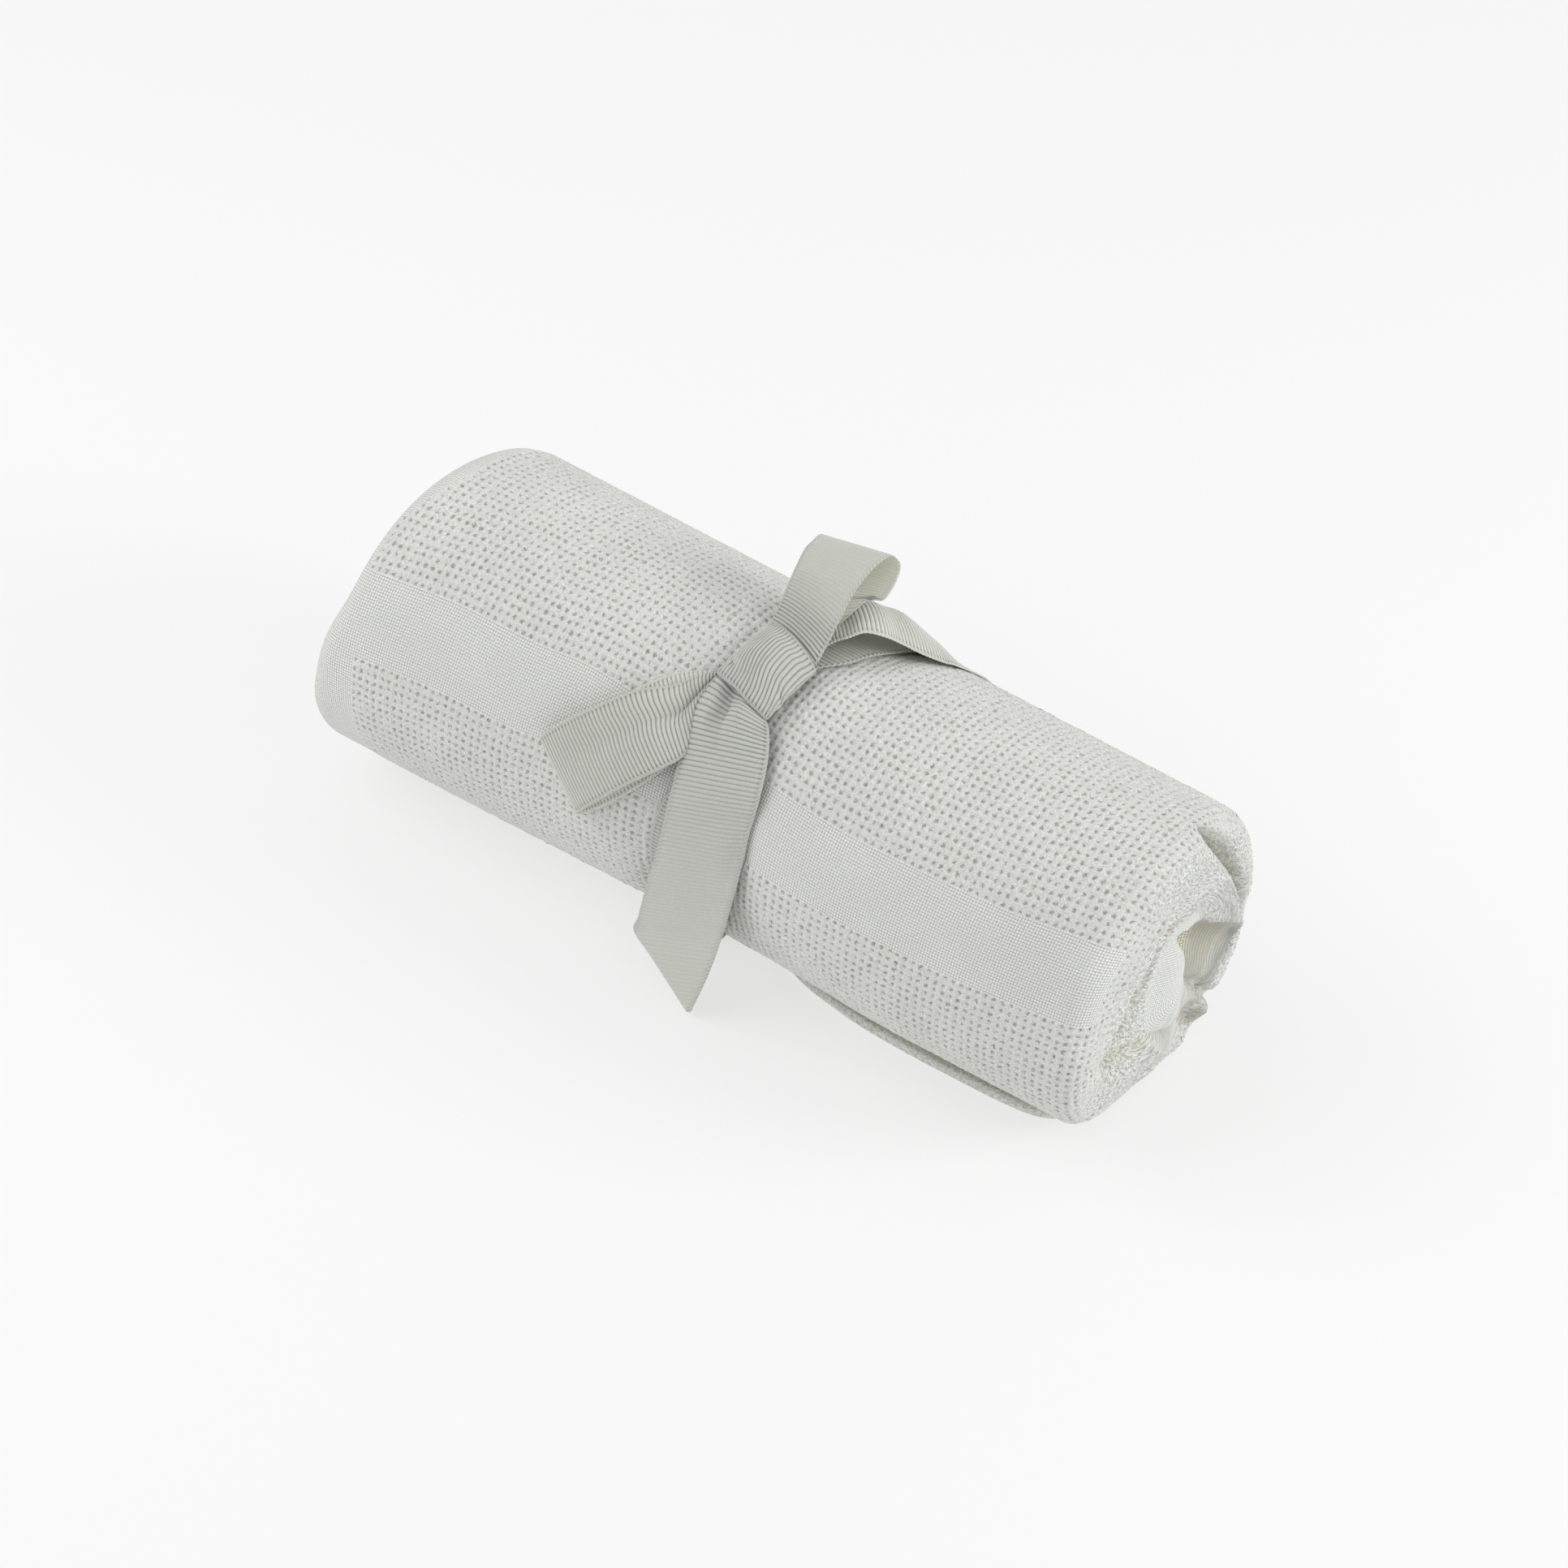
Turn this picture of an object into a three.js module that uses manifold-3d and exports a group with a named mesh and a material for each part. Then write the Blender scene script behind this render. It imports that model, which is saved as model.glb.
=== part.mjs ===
import * as THREE from "three";
import Module from "manifold-3d";

// A cellular blanket folded into a long strip and rolled, tied once round with a ribbon bow.
// Millimetres: X along the roll, front towards -Y, Z up from the floor. The roll's axis is at Y = 0.
const rollRadius = 50.39;
const radiusTaper = -0.0182;
const endPlace = 133;
const eyeBack = 11;
const eyeDrop = 2;
const rollSwell = 0.35;
const turnStep = 9;
const turnGap = 0.5;
const looseClear = 5.5;
const foldShares = [0.14, 0.32, 0.5, 0.68, 0.86];
const foldBlunt = 0.85;
const stripTip = 27;
const flapRings = [55.5, 58.5, 63, 72, 81];
const ringPlaces = { left: [-90, -50], right: [42, 80] };
const steepest = 0.4;
const blanketColour = 0xd3d4ce;
const ribbonColour = 0xb9baaf;

// Degrees wound from the loose end: where the strip leaves the floor, where it crosses over its own
// loose end, where the tape's pull on it fades out, and where it goes in under its first turn.
const liftWound = 90;
const crossWound = 390;
const fadeWound = { from: 396, to: 432 };
const innerWound = 450;

// The strip from its loose end to its core, measured at the right-hand end from the roll's eye.
// wound: degrees round from level at the front, under the roll and up its back. within: the radius
// it stays inside, besides the turn around it. thick: across its layers. right and left: its reach.
// fold: length of its rounded ends, and crest the place of their tips, 0 outside to 1 inside.
const windings = [
  { wound: 55.5, within: 60, thick: 1.6, right: 120, left: -118, crest: 0.5, fold: 1 },
  { wound: 58.5, within: 60, thick: 3.4, right: 121, left: -120, crest: 0.5, fold: 2 },
  { wound: 63, within: 60, thick: 4, right: 121.5, left: -122, crest: 0.5, fold: 2.4 },
  { wound: 90, within: 60, thick: 4.8, right: 123, left: -132, crest: 0.5, fold: 3 },
  { wound: 111, within: 60, thick: 5, right: 127, left: -133, crest: 0.5, fold: 3 },
  { wound: 135, within: 60, thick: 4.6, right: 130, left: -131, crest: 0.5, fold: 3 },
  { wound: 154, within: 60, thick: 4.6, right: 131, left: -129, crest: 0.5, fold: 3 },
  { wound: 166, within: 60, thick: 7.5, right: 131.5, left: -127.5, crest: 0.5, fold: 5 },
  { wound: 180, within: 60, thick: 13, right: 131.5, left: -126.5, crest: 0.5, fold: 8 },
  { wound: 220, within: 60, thick: 15, right: 130.8, left: -125, crest: 0.5, fold: 9 },
  { wound: 248, within: 60, thick: 13.5, right: 130.6, left: -126, crest: 0.5, fold: 8 },
  { wound: 263, within: 60, thick: 8, right: 132, left: -126.2, crest: 0.6, fold: 6 },
  { wound: 280, within: 60, thick: 7.5, right: 133.5, left: -127.6, crest: 0.6, fold: 5.5 },
  { wound: 300, within: 60, thick: 7.5, right: 134.5, left: -129.6, crest: 0.6, fold: 5.5 },
  { wound: 330, within: 60, thick: 7.5, right: 134.5, left: -133, crest: 0.6, fold: 5.5 },
  { wound: 345, within: 60, thick: 7.5, right: 134.5, left: -138, crest: 0.6, fold: 5.5 },
  { wound: 357, within: 60, thick: 13, right: 134.5, left: -141, crest: 0.5, fold: 8 },
  { wound: 370, within: 60, thick: 24, right: 135, left: -144.5, crest: 0.5, fold: 10 },
  { wound: 385, within: 60, thick: 33, right: 135, left: -147, crest: 0.5, fold: 10 },
  { wound: 405, within: 60, thick: 33.5, right: 133.5, left: -148, crest: 0.45, fold: 10 },
  { wound: 420, within: 60, thick: 27, right: 129.5, left: -145, crest: 0.45, fold: 10 },
  { wound: 450, within: 60, thick: 20, right: 133, left: -137, crest: 0.45, fold: 10 },
  { wound: 471, within: 60, thick: 8, right: 135, left: -131, crest: 0.5, fold: 6 },
  { wound: 482, within: 60, thick: 4, right: 133, left: -129, crest: 0.5, fold: 3 },
  { wound: 514, within: 60, thick: 4, right: 130.5, left: -124, crest: 0.5, fold: 3 },
  { wound: 526, within: 60, thick: 6.5, right: 132, left: -122, crest: 0.5, fold: 4 },
  { wound: 552, within: 60, thick: 8, right: 131, left: -121, crest: 0.6, fold: 5 },
  { wound: 571, within: 60, thick: 11.5, right: 132, left: -121.5, crest: 0.75, fold: 6 },
  { wound: 600, within: 60, thick: 17, right: 134, left: -123, crest: 0.85, fold: 7 },
  { wound: 623, within: 60, thick: 25, right: 135, left: -126, crest: 0.88, fold: 8 },
  { wound: 635, within: 60, thick: 24, right: 134.5, left: -127, crest: 0.88, fold: 8 },
  { wound: 650, within: 60, thick: 19.5, right: 133.5, left: -128, crest: 0.85, fold: 8 },
  { wound: 666, within: 60, thick: 13.5, right: 131, left: -130, crest: 0.6, fold: 6 },
  { wound: 675, within: 60, thick: 32.5, right: 131, left: -131, crest: 0.5, fold: 6 },
  { wound: 690, within: 60, thick: 38.5, right: 131, left: -132, crest: 0.5, fold: 6 },
  { wound: 703, within: 60, thick: 41, right: 131, left: -133, crest: 0.5, fold: 6 },
  { wound: 715, within: 47.5, thick: 38.5, right: 131, left: -133, crest: 0.5, fold: 6 },
  { wound: 720, within: 37, thick: 28, right: 131, left: -133, crest: 0.5, fold: 6 },
  { wound: 735, within: 23.5, thick: 15, right: 130, left: -132, crest: 0.5, fold: 6 },
  { wound: 753, within: 18.5, thick: 10, right: 128, left: -131, crest: 0.5, fold: 5 },
  { wound: 775, within: 14.8, thick: 5, right: 121, left: -130, crest: 0.5, fold: 3 },
  { wound: 790, within: 15.5, thick: 7, right: 106, left: -128, crest: 0.5, fold: 4 },
  { wound: 810, within: 18.5, thick: 10, right: 101, left: -126, crest: 0.5, fold: 5 },
  { wound: 840, within: 29, thick: 14, right: 99, left: -123, crest: 0.5, fold: 6 },
  { wound: 870, within: 29, thick: 14, right: 98, left: -120, crest: 0.5, fold: 6 },
  { wound: 885, within: 22, thick: 12, right: 98, left: -120, crest: 0.5, fold: 6 },
  { wound: 900, within: 15, thick: 8, right: 97, left: -120, crest: 0.5, fold: 5 },
  { wound: 930, within: 11, thick: 6, right: 96, left: -120, crest: 0.5, fold: 4 },
  { wound: 960, within: 12.5, thick: 8, right: 95, left: -121, crest: 0.5, fold: 4 },
  { wound: 1000, within: 16, thick: 9, right: 94, left: -122, crest: 0.5, fold: 4 },
];

// How far forward the loose end lies on the floor at each place along the roll.
const looseEnd = [
  { along: -134, front: 10 },
  { along: -60, front: 13 },
  { along: -5, front: 19 },
  { along: 20, front: 27.6 },
  { along: 42, front: 31.8 },
  { along: 58, front: 33 },
  { along: 80, front: 33 },
  { along: 108, front: 32 },
  { along: 122, front: 26.6 },
];

// Ribbon: woven tape tied round the roll, which it presses in a little.
const tapeThick = 1.2;
const tapeGap = 0.55;
const pinchDepth = 1.75;
const pinchSpread = 12;
const tapeMargin = 0.6;
const waistDepth = 1.8;
const waistTurn = -30;
const waistSpread = 80;
const tapeSteps = 3;
const tapeAcross = 6;
const looseTurn = { middle: -74, half: 17 };
const flatTurn = -58;
const bandSteepest = 0.5;
const knotSteps = 2;

// The band's centre line and width at each turn round the roll, 0 at the front and 90 on top.
const bandRows = [
  { turn: -90, middle: -3, width: 26 },
  { turn: -54, middle: -2.4, width: 26 },
  { turn: -22, middle: -1.2, width: 26 },
  { turn: 0, middle: -0.9, width: 26 },
  { turn: 14, middle: -0.2, width: 25.6 },
  { turn: 24, middle: 0.6, width: 23.4 },
  { turn: 31, middle: 0.9, width: 19.4 },
  { turn: 50, middle: 0.8, width: 15 },
  { turn: 70, middle: 0.8, width: 14.6 },
  { turn: 80, middle: 1.8, width: 15 },
  { turn: 88, middle: 3.2, width: 16.4 },
  { turn: 96, middle: 5.6, width: 22.2 },
  { turn: 104, middle: 7, width: 24.4 },
  { turn: 119, middle: 10.4, width: 26 },
  { turn: 150, middle: 11.4, width: 26 },
  { turn: 180, middle: 9, width: 26 },
  { turn: 225, middle: 3, width: 26 },
  { turn: 270, middle: -3, width: 26 },
];

// Each piece of tape is a row of crossings from one selvage (a) to the other (b), crown in between.
const frontTail = [
  { ax: -9.5, ay: -17.4, az: 99.4, bx: 6.4, by: -21.8, bz: 97, crown: 0.4 },
  { ax: -11.1, ay: -19.3, az: 99.2, bx: 8.8, by: -23.8, bz: 96.5, crown: 1.6 },
  { ax: -11.3, ay: -25.4, az: 97.3, bx: 11.6, by: -25.9, bz: 96.5, crown: 2.2 },
  { ax: -11.4, ay: -29.8, az: 95.1, bx: 13.1, by: -27.6, bz: 95.6, crown: 2.4 },
  { ax: -10.7, ay: -33.5, az: 92.6, bx: 14.5, by: -29.5, bz: 94.5, crown: 2 },
  { ax: -9.5, ay: -37.5, az: 89.3, bx: 16.2, by: -32.4, bz: 92.5, crown: 1.2 },
  { ax: -8.5, ay: -41, az: 85.6, bx: 17.7, by: -35.8, bz: 89.7, crown: 1 },
  { ax: -7.7, ay: -44.3, az: 81.2, bx: 18.9, by: -39.4, bz: 86.2, crown: 0.9 },
  { ax: -7.5, ay: -47.3, az: 75.9, bx: 19.6, by: -42.7, bz: 82.1, crown: 0.8 },
  { ax: -7.7, ay: -49.5, az: 69.3, bx: 19.7, by: -45.4, bz: 76.6, crown: 0.8 },
  { ax: -7.9, ay: -51.6, az: 62.7, bx: 19.8, by: -48, bz: 71, crown: 0.7 },
  { ax: -9.1, ay: -53.1, az: 54.2, bx: 19.9, by: -50.8, bz: 64.9, crown: 0.6 },
  { ax: -11.1, ay: -53.7, az: 44.9, bx: 19.6, by: -53, bz: 58.3, crown: 0.5 },
  { ax: -13.5, ay: -53.8, az: 35, bx: 18.3, by: -54, bz: 50.1, crown: 0.4 },
  { ax: -15.8, ay: -53.4, az: 25.8, bx: 17.3, by: -55, bz: 43.3, crown: 0.3 },
  { ax: -18.2, ay: -52.6, az: 17.4, bx: 15.8, by: -55.5, bz: 36.6, crown: 0.2 },
  { ax: -11, ay: -54.2, az: 12.4, bx: 13.4, by: -56.2, bz: 26.4, crown: 0.1 },
  { ax: -3.9, ay: -55.8, az: 7.5, bx: 10.5, by: -56.9, bz: 15.8, crown: 0.1 },
  { ax: 2.1, ay: -57.2, az: 3.4, bx: 7.5, by: -57.6, bz: 6.5, crown: 0 },
  { ax: 4.7, ay: -57.8, az: 1.6, bx: 6.2, by: -57.9, bz: 2.4, crown: 0 },
];
const leftLoop = [
  { ax: -10.6, ay: -17.6, az: 99.4, bx: -8, by: -19.8, bz: 98.4, crown: 0.1 },
  { ax: -12, ay: -19.3, az: 99.9, bx: -10.4, by: -25.1, bz: 96, crown: 0.4 },
  { ax: -15.1, ay: -24.6, az: 99.7, bx: -8.1, by: -32.6, bz: 91.8, crown: 0.8 },
  { ax: -18.8, ay: -30.1, az: 99.1, bx: -6.6, by: -40.4, bz: 87.1, crown: 1 },
  { ax: -27.6, ay: -36.2, az: 96.8, bx: -10.6, by: -46, bz: 83.6, crown: 1.2 },
  { ax: -37, ay: -43.2, az: 90.5, bx: -19.5, by: -51.2, bz: 76, crown: 1 },
  { ax: -45.8, ay: -47.7, az: 82.8, bx: -29.1, by: -54.1, bz: 65.6, crown: 0.6 },
  { ax: -51, ay: -49.2, az: 77, bx: -34.3, by: -54.3, bz: 59.2, crown: 0.3 },
  { ax: -52.7, ay: -48.8, az: 74.3, bx: -36.5, by: -53.3, bz: 55.9, crown: 0 },
  { ax: -51.2, ay: -47, az: 75.1, bx: -34.8, by: -52.1, bz: 56.1, crown: 0 },
  { ax: -43.5, ay: -42.6, az: 81.8, bx: -27, by: -50.4, bz: 63.4, crown: 0 },
  { ax: -35.5, ay: -36.5, az: 88.6, bx: -18.1, by: -46.8, bz: 72.9, crown: 0 },
  { ax: -27.5, ay: -29, az: 94.7, bx: -11, by: -41.1, bz: 81.9, crown: 0 },
  { ax: -21.6, ay: -24.2, az: 97.7, bx: -8.9, by: -34.4, bz: 89.1, crown: 0 },
  { ax: -16.7, ay: -21, az: 98.9, bx: -10, by: -27.6, bz: 94.2, crown: 0 },
  { ax: -12, ay: -18.4, az: 99.2, bx: -9.6, by: -20.9, bz: 97.8, crown: 0 },
];
const upperLoop = [
  { ax: -5.6, ay: 3, az: 102.5, bx: 9.8, by: -3.5, bz: 101.9, crown: 0.6 },
  { ax: -8.6, ay: 3.8, az: 103.4, bx: 11.6, by: -3.5, bz: 102.6, crown: 2.2 },
  { ax: -7.9, ay: 6.6, az: 108.5, bx: 11.8, by: 1.9, bz: 106.5, crown: 1.6 },
  { ax: -7.3, ay: 10.1, az: 114.6, bx: 12.2, by: 7.4, bz: 112.3, crown: 1.2 },
  { ax: -7.3, ay: 13.8, az: 118.4, bx: 12, by: 14.7, bz: 117.2, crown: 1 },
  { ax: -8.1, ay: 18.9, az: 120.4, bx: 12.2, by: 22.8, bz: 119.8, crown: 0.8 },
  { ax: -8.6, ay: 22.9, az: 120, bx: 12.8, by: 29.2, bz: 120.2, crown: 0.5 },
  { ax: -9.9, ay: 28.3, az: 118, bx: 13.2, by: 32.7, bz: 118.6, crown: 0.2 },
  { ax: -11.3, ay: 32.1, az: 114, bx: 15, by: 33.6, bz: 115.4, crown: 0 },
  { ax: -10.2, ay: 30, az: 110.6, bx: 15.8, by: 30.6, bz: 112.4, crown: 0 },
  { ax: -7.2, ay: 19.3, az: 108.6, bx: 16.1, by: 26, bz: 110.4, crown: 0 },
  { ax: -5.8, ay: 14.2, az: 107.8, bx: 15.4, by: 23.9, bz: 109.4, crown: 0 },
  { ax: -4.4, ay: 9.2, az: 107, bx: 11.6, by: 21.8, bz: 109, crown: 0 },
  { ax: -6, ay: 5.1, az: 101.9, bx: 7.3, by: -0.8, bz: 101.7, crown: 0 },
];
const backTail = [
  { ax: 9.5, ay: -5.5, az: 101.4, bx: 1.8, by: 0.6, bz: 102, crown: 0.2 },
  { ax: 9.4, ay: 1.8, az: 103, bx: 1, by: 9.7, bz: 102.2, crown: 0.6 },
  { ax: 11.8, ay: 5.5, az: 105.1, bx: -2.5, by: 19, bz: 101.5, crown: 1.5 },
  { ax: 14.9, ay: 7.7, az: 106.7, bx: -1.9, by: 23.6, bz: 96, crown: 2.4 },
  { ax: 18.4, ay: 11.1, az: 108.1, bx: 1, by: 27.3, bz: 98.9, crown: 3 },
  { ax: 22.4, ay: 14.7, az: 107.1, bx: 4.3, by: 30.5, bz: 98.7, crown: 3.2 },
  { ax: 25.5, ay: 18.8, az: 103.7, bx: 7.4, by: 34.6, bz: 95.1, crown: 2.8 },
  { ax: 30.2, ay: 22.6, az: 99.2, bx: 11.5, by: 38.5, bz: 92.1, crown: 2 },
  { ax: 35.1, ay: 26.3, az: 95, bx: 16.9, by: 41.7, bz: 85.9, crown: 1.2 },
  { ax: 37.3, ay: 30.3, az: 91.1, bx: 22.7, by: 45.7, bz: 76.9, crown: 0.6 },
  { ax: 40.5, ay: 41.8, az: 79, bx: 28, by: 50.6, bz: 58.6, crown: 0.2 },
  { ax: 42, ay: 47.6, az: 68.8, bx: 31, by: 51.2, bz: 45.2, crown: 0.1 },
];

// The knot: the tape drawn tight over the band and the roots of the loops and tails, from left to right.
const knotRows = [
  { ax: -11.4, ay: -19.4, az: 98.4, bx: -8.4, by: 3.8, bz: 101.9, crown: 0.2 },
  { ax: -10.7, ay: -19.9, az: 100.1, bx: -7.3, by: 2.9, bz: 103.8, crown: 1.4 },
  { ax: -6.9, ay: -21.5, az: 101, bx: -5.1, by: 2, bz: 105.3, crown: 2.6 },
  { ax: -2.2, ay: -23, az: 101.5, bx: -1.1, by: 0.5, bz: 106.6, crown: 3.2 },
  { ax: 2.4, ay: -24.6, az: 101, bx: 3.3, by: -1.2, bz: 107, crown: 3.4 },
  { ax: 6.6, ay: -25.3, az: 99.6, bx: 7.5, by: -3, bz: 106.4, crown: 3.2 },
  { ax: 9.2, ay: -25.2, az: 98.2, bx: 10.9, by: -4.3, bz: 105, crown: 2.6 },
  { ax: 9.5, ay: -24.4, az: 96.8, bx: 12.7, by: -4.7, bz: 102.9, crown: 1.4 },
  { ax: 8.2, ay: -23.1, az: 95.8, bx: 11.6, by: -3.7, bz: 101.1, crown: 0.2 },
];

const radians = THREE.MathUtils.degToRad;
const smooth = THREE.MathUtils.smoothstep;

function hermite(rows, key, value, column) {
  const last = rows.length - 1;
  let i = 0;
  while (i < last - 1 && value > rows[i + 1][key]) {
    i += 1;
  }
  const from = rows[i];
  const to = rows[i + 1];
  const before = rows[Math.max(i - 1, 0)];
  const after = rows[Math.min(i + 2, last)];
  const span = to[key] - from[key];
  const t = THREE.MathUtils.clamp((value - from[key]) / span, 0, 1);
  const leave = ((to[column] - before[column]) / (to[key] - before[key])) * span;
  const reach = ((after[column] - from[column]) / (after[key] - from[key])) * span;
  const t2 = t * t;
  const t3 = t2 * t;
  return (
    (2 * t3 - 3 * t2 + 1) * from[column] +
    (t3 - 2 * t2 + t) * leave +
    (3 * t2 - 2 * t3) * to[column] +
    (t3 - t2) * reach
  );
}

function radiusAt(along) {
  return rollRadius + radiusTaper * along;
}

function bandAt(turn, column) {
  const wrapped = THREE.MathUtils.euclideanModulo(turn + 90, 360) - 90;
  return hermite(bandRows, "turn", wrapped, column);
}

// How far the tape draws the cloth in: sharply under the band, and gently either side low in front.
function pinchAt(along, turn) {
  const off = Math.abs(along - bandAt(turn, "middle"));
  const held = bandAt(turn, "width") / 2 + tapeMargin;
  const waist = waistDepth * Math.max(0, Math.cos(radians(turn - waistTurn))) ** 2;
  return (
    pinchDepth * (1 - smooth(off, held, held + pinchSpread)) +
    waist * (1 - smooth(off, held, waistSpread))
  );
}

const endRadius = rollRadius + radiusTaper * endPlace;

// From the eye to the roll's round outside, which is flat where it meets the floor.
function roundFace(wound) {
  const angle = radians(wound);
  const along = -eyeBack * Math.cos(angle) + eyeDrop * Math.sin(angle);
  const across = eyeBack ** 2 + eyeDrop ** 2 - along ** 2;
  return Math.sqrt((endRadius + rollSwell) ** 2 - across) - along;
}

function aboveFloor(wound, height) {
  const under = Math.sin(radians(wound));
  return under > steepest ? (endRadius - eyeDrop - height) / under : Infinity;
}

// Radius of the strip's outer and inner faces from the eye, each turn inside the one before.
function outerFace(wound) {
  if (wound < innerWound) {
    return Math.min(roundFace(wound), aboveFloor(wound, wound < crossWound ? 0 : looseClear));
  }
  return Math.min(hermite(windings, "wound", wound, "within"), innerFace(wound - 360) - turnGap);
}

function innerFace(wound) {
  return outerFace(wound) - hermite(windings, "wound", wound, "thick");
}

function onRoll(along, turn, radius) {
  const angle = radians(turn);
  const axis = radiusAt(along);
  return new THREE.Vector3(along, -radius * Math.cos(angle), axis + radius * Math.sin(angle));
}

// A point of the strip. depth: 0 on its outer face, 1 on its inner face.
function stripPoint(along, wound, depth) {
  const scale = radiusAt(along) / endRadius;
  const thick = hermite(windings, "wound", wound, "thick");
  if (wound < liftWound) {
    const share = (liftWound - wound) / (liftWound - flapRings[0]);
    const front = hermite(looseEnd, "along", along, "front");
    const lift = pinchAt(along, -90);
    const top = thick * scale + lift * share;
    const deep = THREE.MathUtils.lerp(eyeBack * scale, -front, share);
    return new THREE.Vector3(along, deep, lift + (top - lift) * depth);
  }
  const angle = radians(wound);
  const place = (radius, drawn) =>
    new THREE.Vector3(
      along,
      eyeBack * scale - (radius * scale - drawn) * Math.cos(angle),
      (endRadius - eyeDrop) * scale - (radius * scale - drawn) * Math.sin(angle),
    );
  const face = place(outerFace(wound), 0);
  if (wound < fadeWound.to) {
    const drawn = pinchAt(along, turnOf(face)) * (1 - smooth(wound, fadeWound.from, fadeWound.to));
    face.copy(place(outerFace(wound), drawn));
  }
  return face.lerp(place(innerFace(wound), 0), depth);
}

function turnOf(point) {
  return THREE.MathUtils.radToDeg(Math.atan2(point.z - radiusAt(point.x), -point.y));
}

// Closes a grid of rings, each a loop of points, into one solid with flat ends. tip: where in a
// ring its ends are closed from.
function closedTube(rings, tip = 0) {
  const count = rings[0].length;
  const faces = [];
  for (let i = 0; i < rings.length - 1; i += 1) {
    for (let j = 0; j < count; j += 1) {
      const a = i * count + j;
      const b = i * count + ((j + 1) % count);
      faces.push(a, b, b + count, a, b + count, a + count);
    }
  }
  const last = (rings.length - 1) * count;
  for (let j = 0; j < count / 2; j += 1) {
    const [low, lowNext] = [(tip + j) % count, (tip + j + 1) % count];
    const [high, highNext] = [(tip - j + count) % count, (tip - j - 1 + count) % count];
    if (j > 0) {
      faces.push(low, high, lowNext, last + low, last + lowNext, last + high);
    }
    if (lowNext !== highNext) {
      faces.push(lowNext, high, highNext, last + lowNext, last + highNext, last + high);
    }
  }
  return { points: rings.flat(), faces };
}

function outward(solid) {
  const { points, faces } = solid;
  let volume = 0;
  for (let i = 0; i < faces.length; i += 3) {
    const [a, b, c] = [points[faces[i]], points[faces[i + 1]], points[faces[i + 2]]];
    volume += a.dot(new THREE.Vector3().crossVectors(b, c));
  }
  return volume > 0 ? solid : { points, faces: faces.slice().reverse() };
}

// One loop of points round the strip at one winding: along its outer face, round the right-hand
// folds, back along its inner face and round the left-hand folds.
function stripRing(wound) {
  const at = (column) => hermite(windings, "wound", wound, column);
  const fold = at("fold");
  const crest = at("crest");
  const ends = [at("left") + fold, at("right") - fold];
  const turn = wound < liftWound ? -90 : turnOf(stripPoint(0, wound, 0));
  const middle = bandAt(turn, "middle");
  const held = bandAt(turn, "width") / 2 + tapeMargin;
  const places = [ends[0], ...ringPlaces.left, middle - held - pinchSpread, middle - held];
  places.push(middle + held, middle + held + pinchSpread, ...ringPlaces.right, ends[1]);
  const ring = places.map((along) => stripPoint(along, wound, 0));
  const round = (side, share) => {
    const angle = share * Math.PI;
    const depth = share < 0.5 ? crest * (1 - Math.cos(angle)) : 1 - (1 - crest) * (1 + Math.cos(angle));
    const along = ends[side] + (side ? 1 : -1) * fold * Math.sin(angle) ** foldBlunt;
    return stripPoint(along, wound, depth);
  };
  foldShares.forEach((share) => ring.push(round(1, share)));
  places.slice().reverse().forEach((along) => ring.push(stripPoint(along, wound, 1)));
  foldShares.slice().reverse().forEach((share) => ring.push(round(0, share)));
  return ring;
}

function blanketRoll() {
  const last = windings[windings.length - 1].wound;
  const turns = [...flapRings];
  for (let wound = liftWound; wound <= last; wound += turnStep) {
    turns.push(wound);
  }
  return turns.map(stripRing);
}

function spread(rows, steps) {
  const columns = Object.keys(rows[0]);
  const placed = rows.map((row, index) => ({ ...row, index }));
  const out = [];
  for (let i = 0; i <= (rows.length - 1) * steps; i += 1) {
    const entries = columns.map((name) => [name, hermite(placed, "index", i / steps, name)]);
    out.push(Object.fromEntries(entries));
  }
  return out;
}

// Thickens a grid of points into one solid, half the thickness to each side.
function thicken(grid, thick) {
  const high = grid.length;
  const wide = grid[0].length;
  const faceOf = (side) =>
    grid.map((row, i) =>
      row.map((point, j) => {
        const down = grid[Math.min(i + 1, high - 1)][j].clone().sub(grid[Math.max(i - 1, 0)][j]);
        const over = row[Math.min(j + 1, wide - 1)].clone().sub(row[Math.max(j - 1, 0)]);
        const normal = down.cross(over).normalize();
        return point.clone().addScaledVector(normal, (side * thick) / 2);
      }),
    );
  const top = faceOf(1);
  const under = faceOf(-1);
  return top.map((row, i) => [...row, ...under[i].slice().reverse()]);
}

// Moves a point of the tape's middle out to where the tape lies on the cloth.
function keptOff(point) {
  const axis = radiusAt(point.x);
  const least = axis + rollSwell + tapeGap + tapeThick / 2;
  const away = new THREE.Vector3(0, point.y, point.z - axis);
  const lack = least - away.length();
  return lack > 0 && point.z > axis / 2 ? point.addScaledVector(away.normalize(), lack) : point;
}

function tapeGrid(rows, steps) {
  return spread(rows, steps).map((row) => {
    const a = new THREE.Vector3(row.ax, row.ay, row.az);
    const b = new THREE.Vector3(row.bx, row.by, row.bz);
    const away = a.clone().add(b).multiplyScalar(0.5);
    away.set(0, away.y, away.z - rollRadius).normalize();
    return Array.from({ length: tapeAcross + 1 }, (_, j) => {
      const t = j / tapeAcross;
      return keptOff(a.clone().lerp(b, t).addScaledVector(away, row.crown * 4 * t * (1 - t)));
    });
  });
}

function tapePiece(rows) {
  return closedTube(thicken(tapeGrid(rows, tapeSteps), tapeThick));
}

// Where the band sits: on the pinched roll, and clear of the loose end where it goes under.
const bandSeat = [
  { turn: -72, out: 0 },
  { turn: -63, out: 0.8 },
  { turn: -54, out: 3 },
  { turn: -45, out: 1.4 },
  { turn: -36, out: 0.4 },
  { turn: -27, out: 0 },
];

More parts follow.
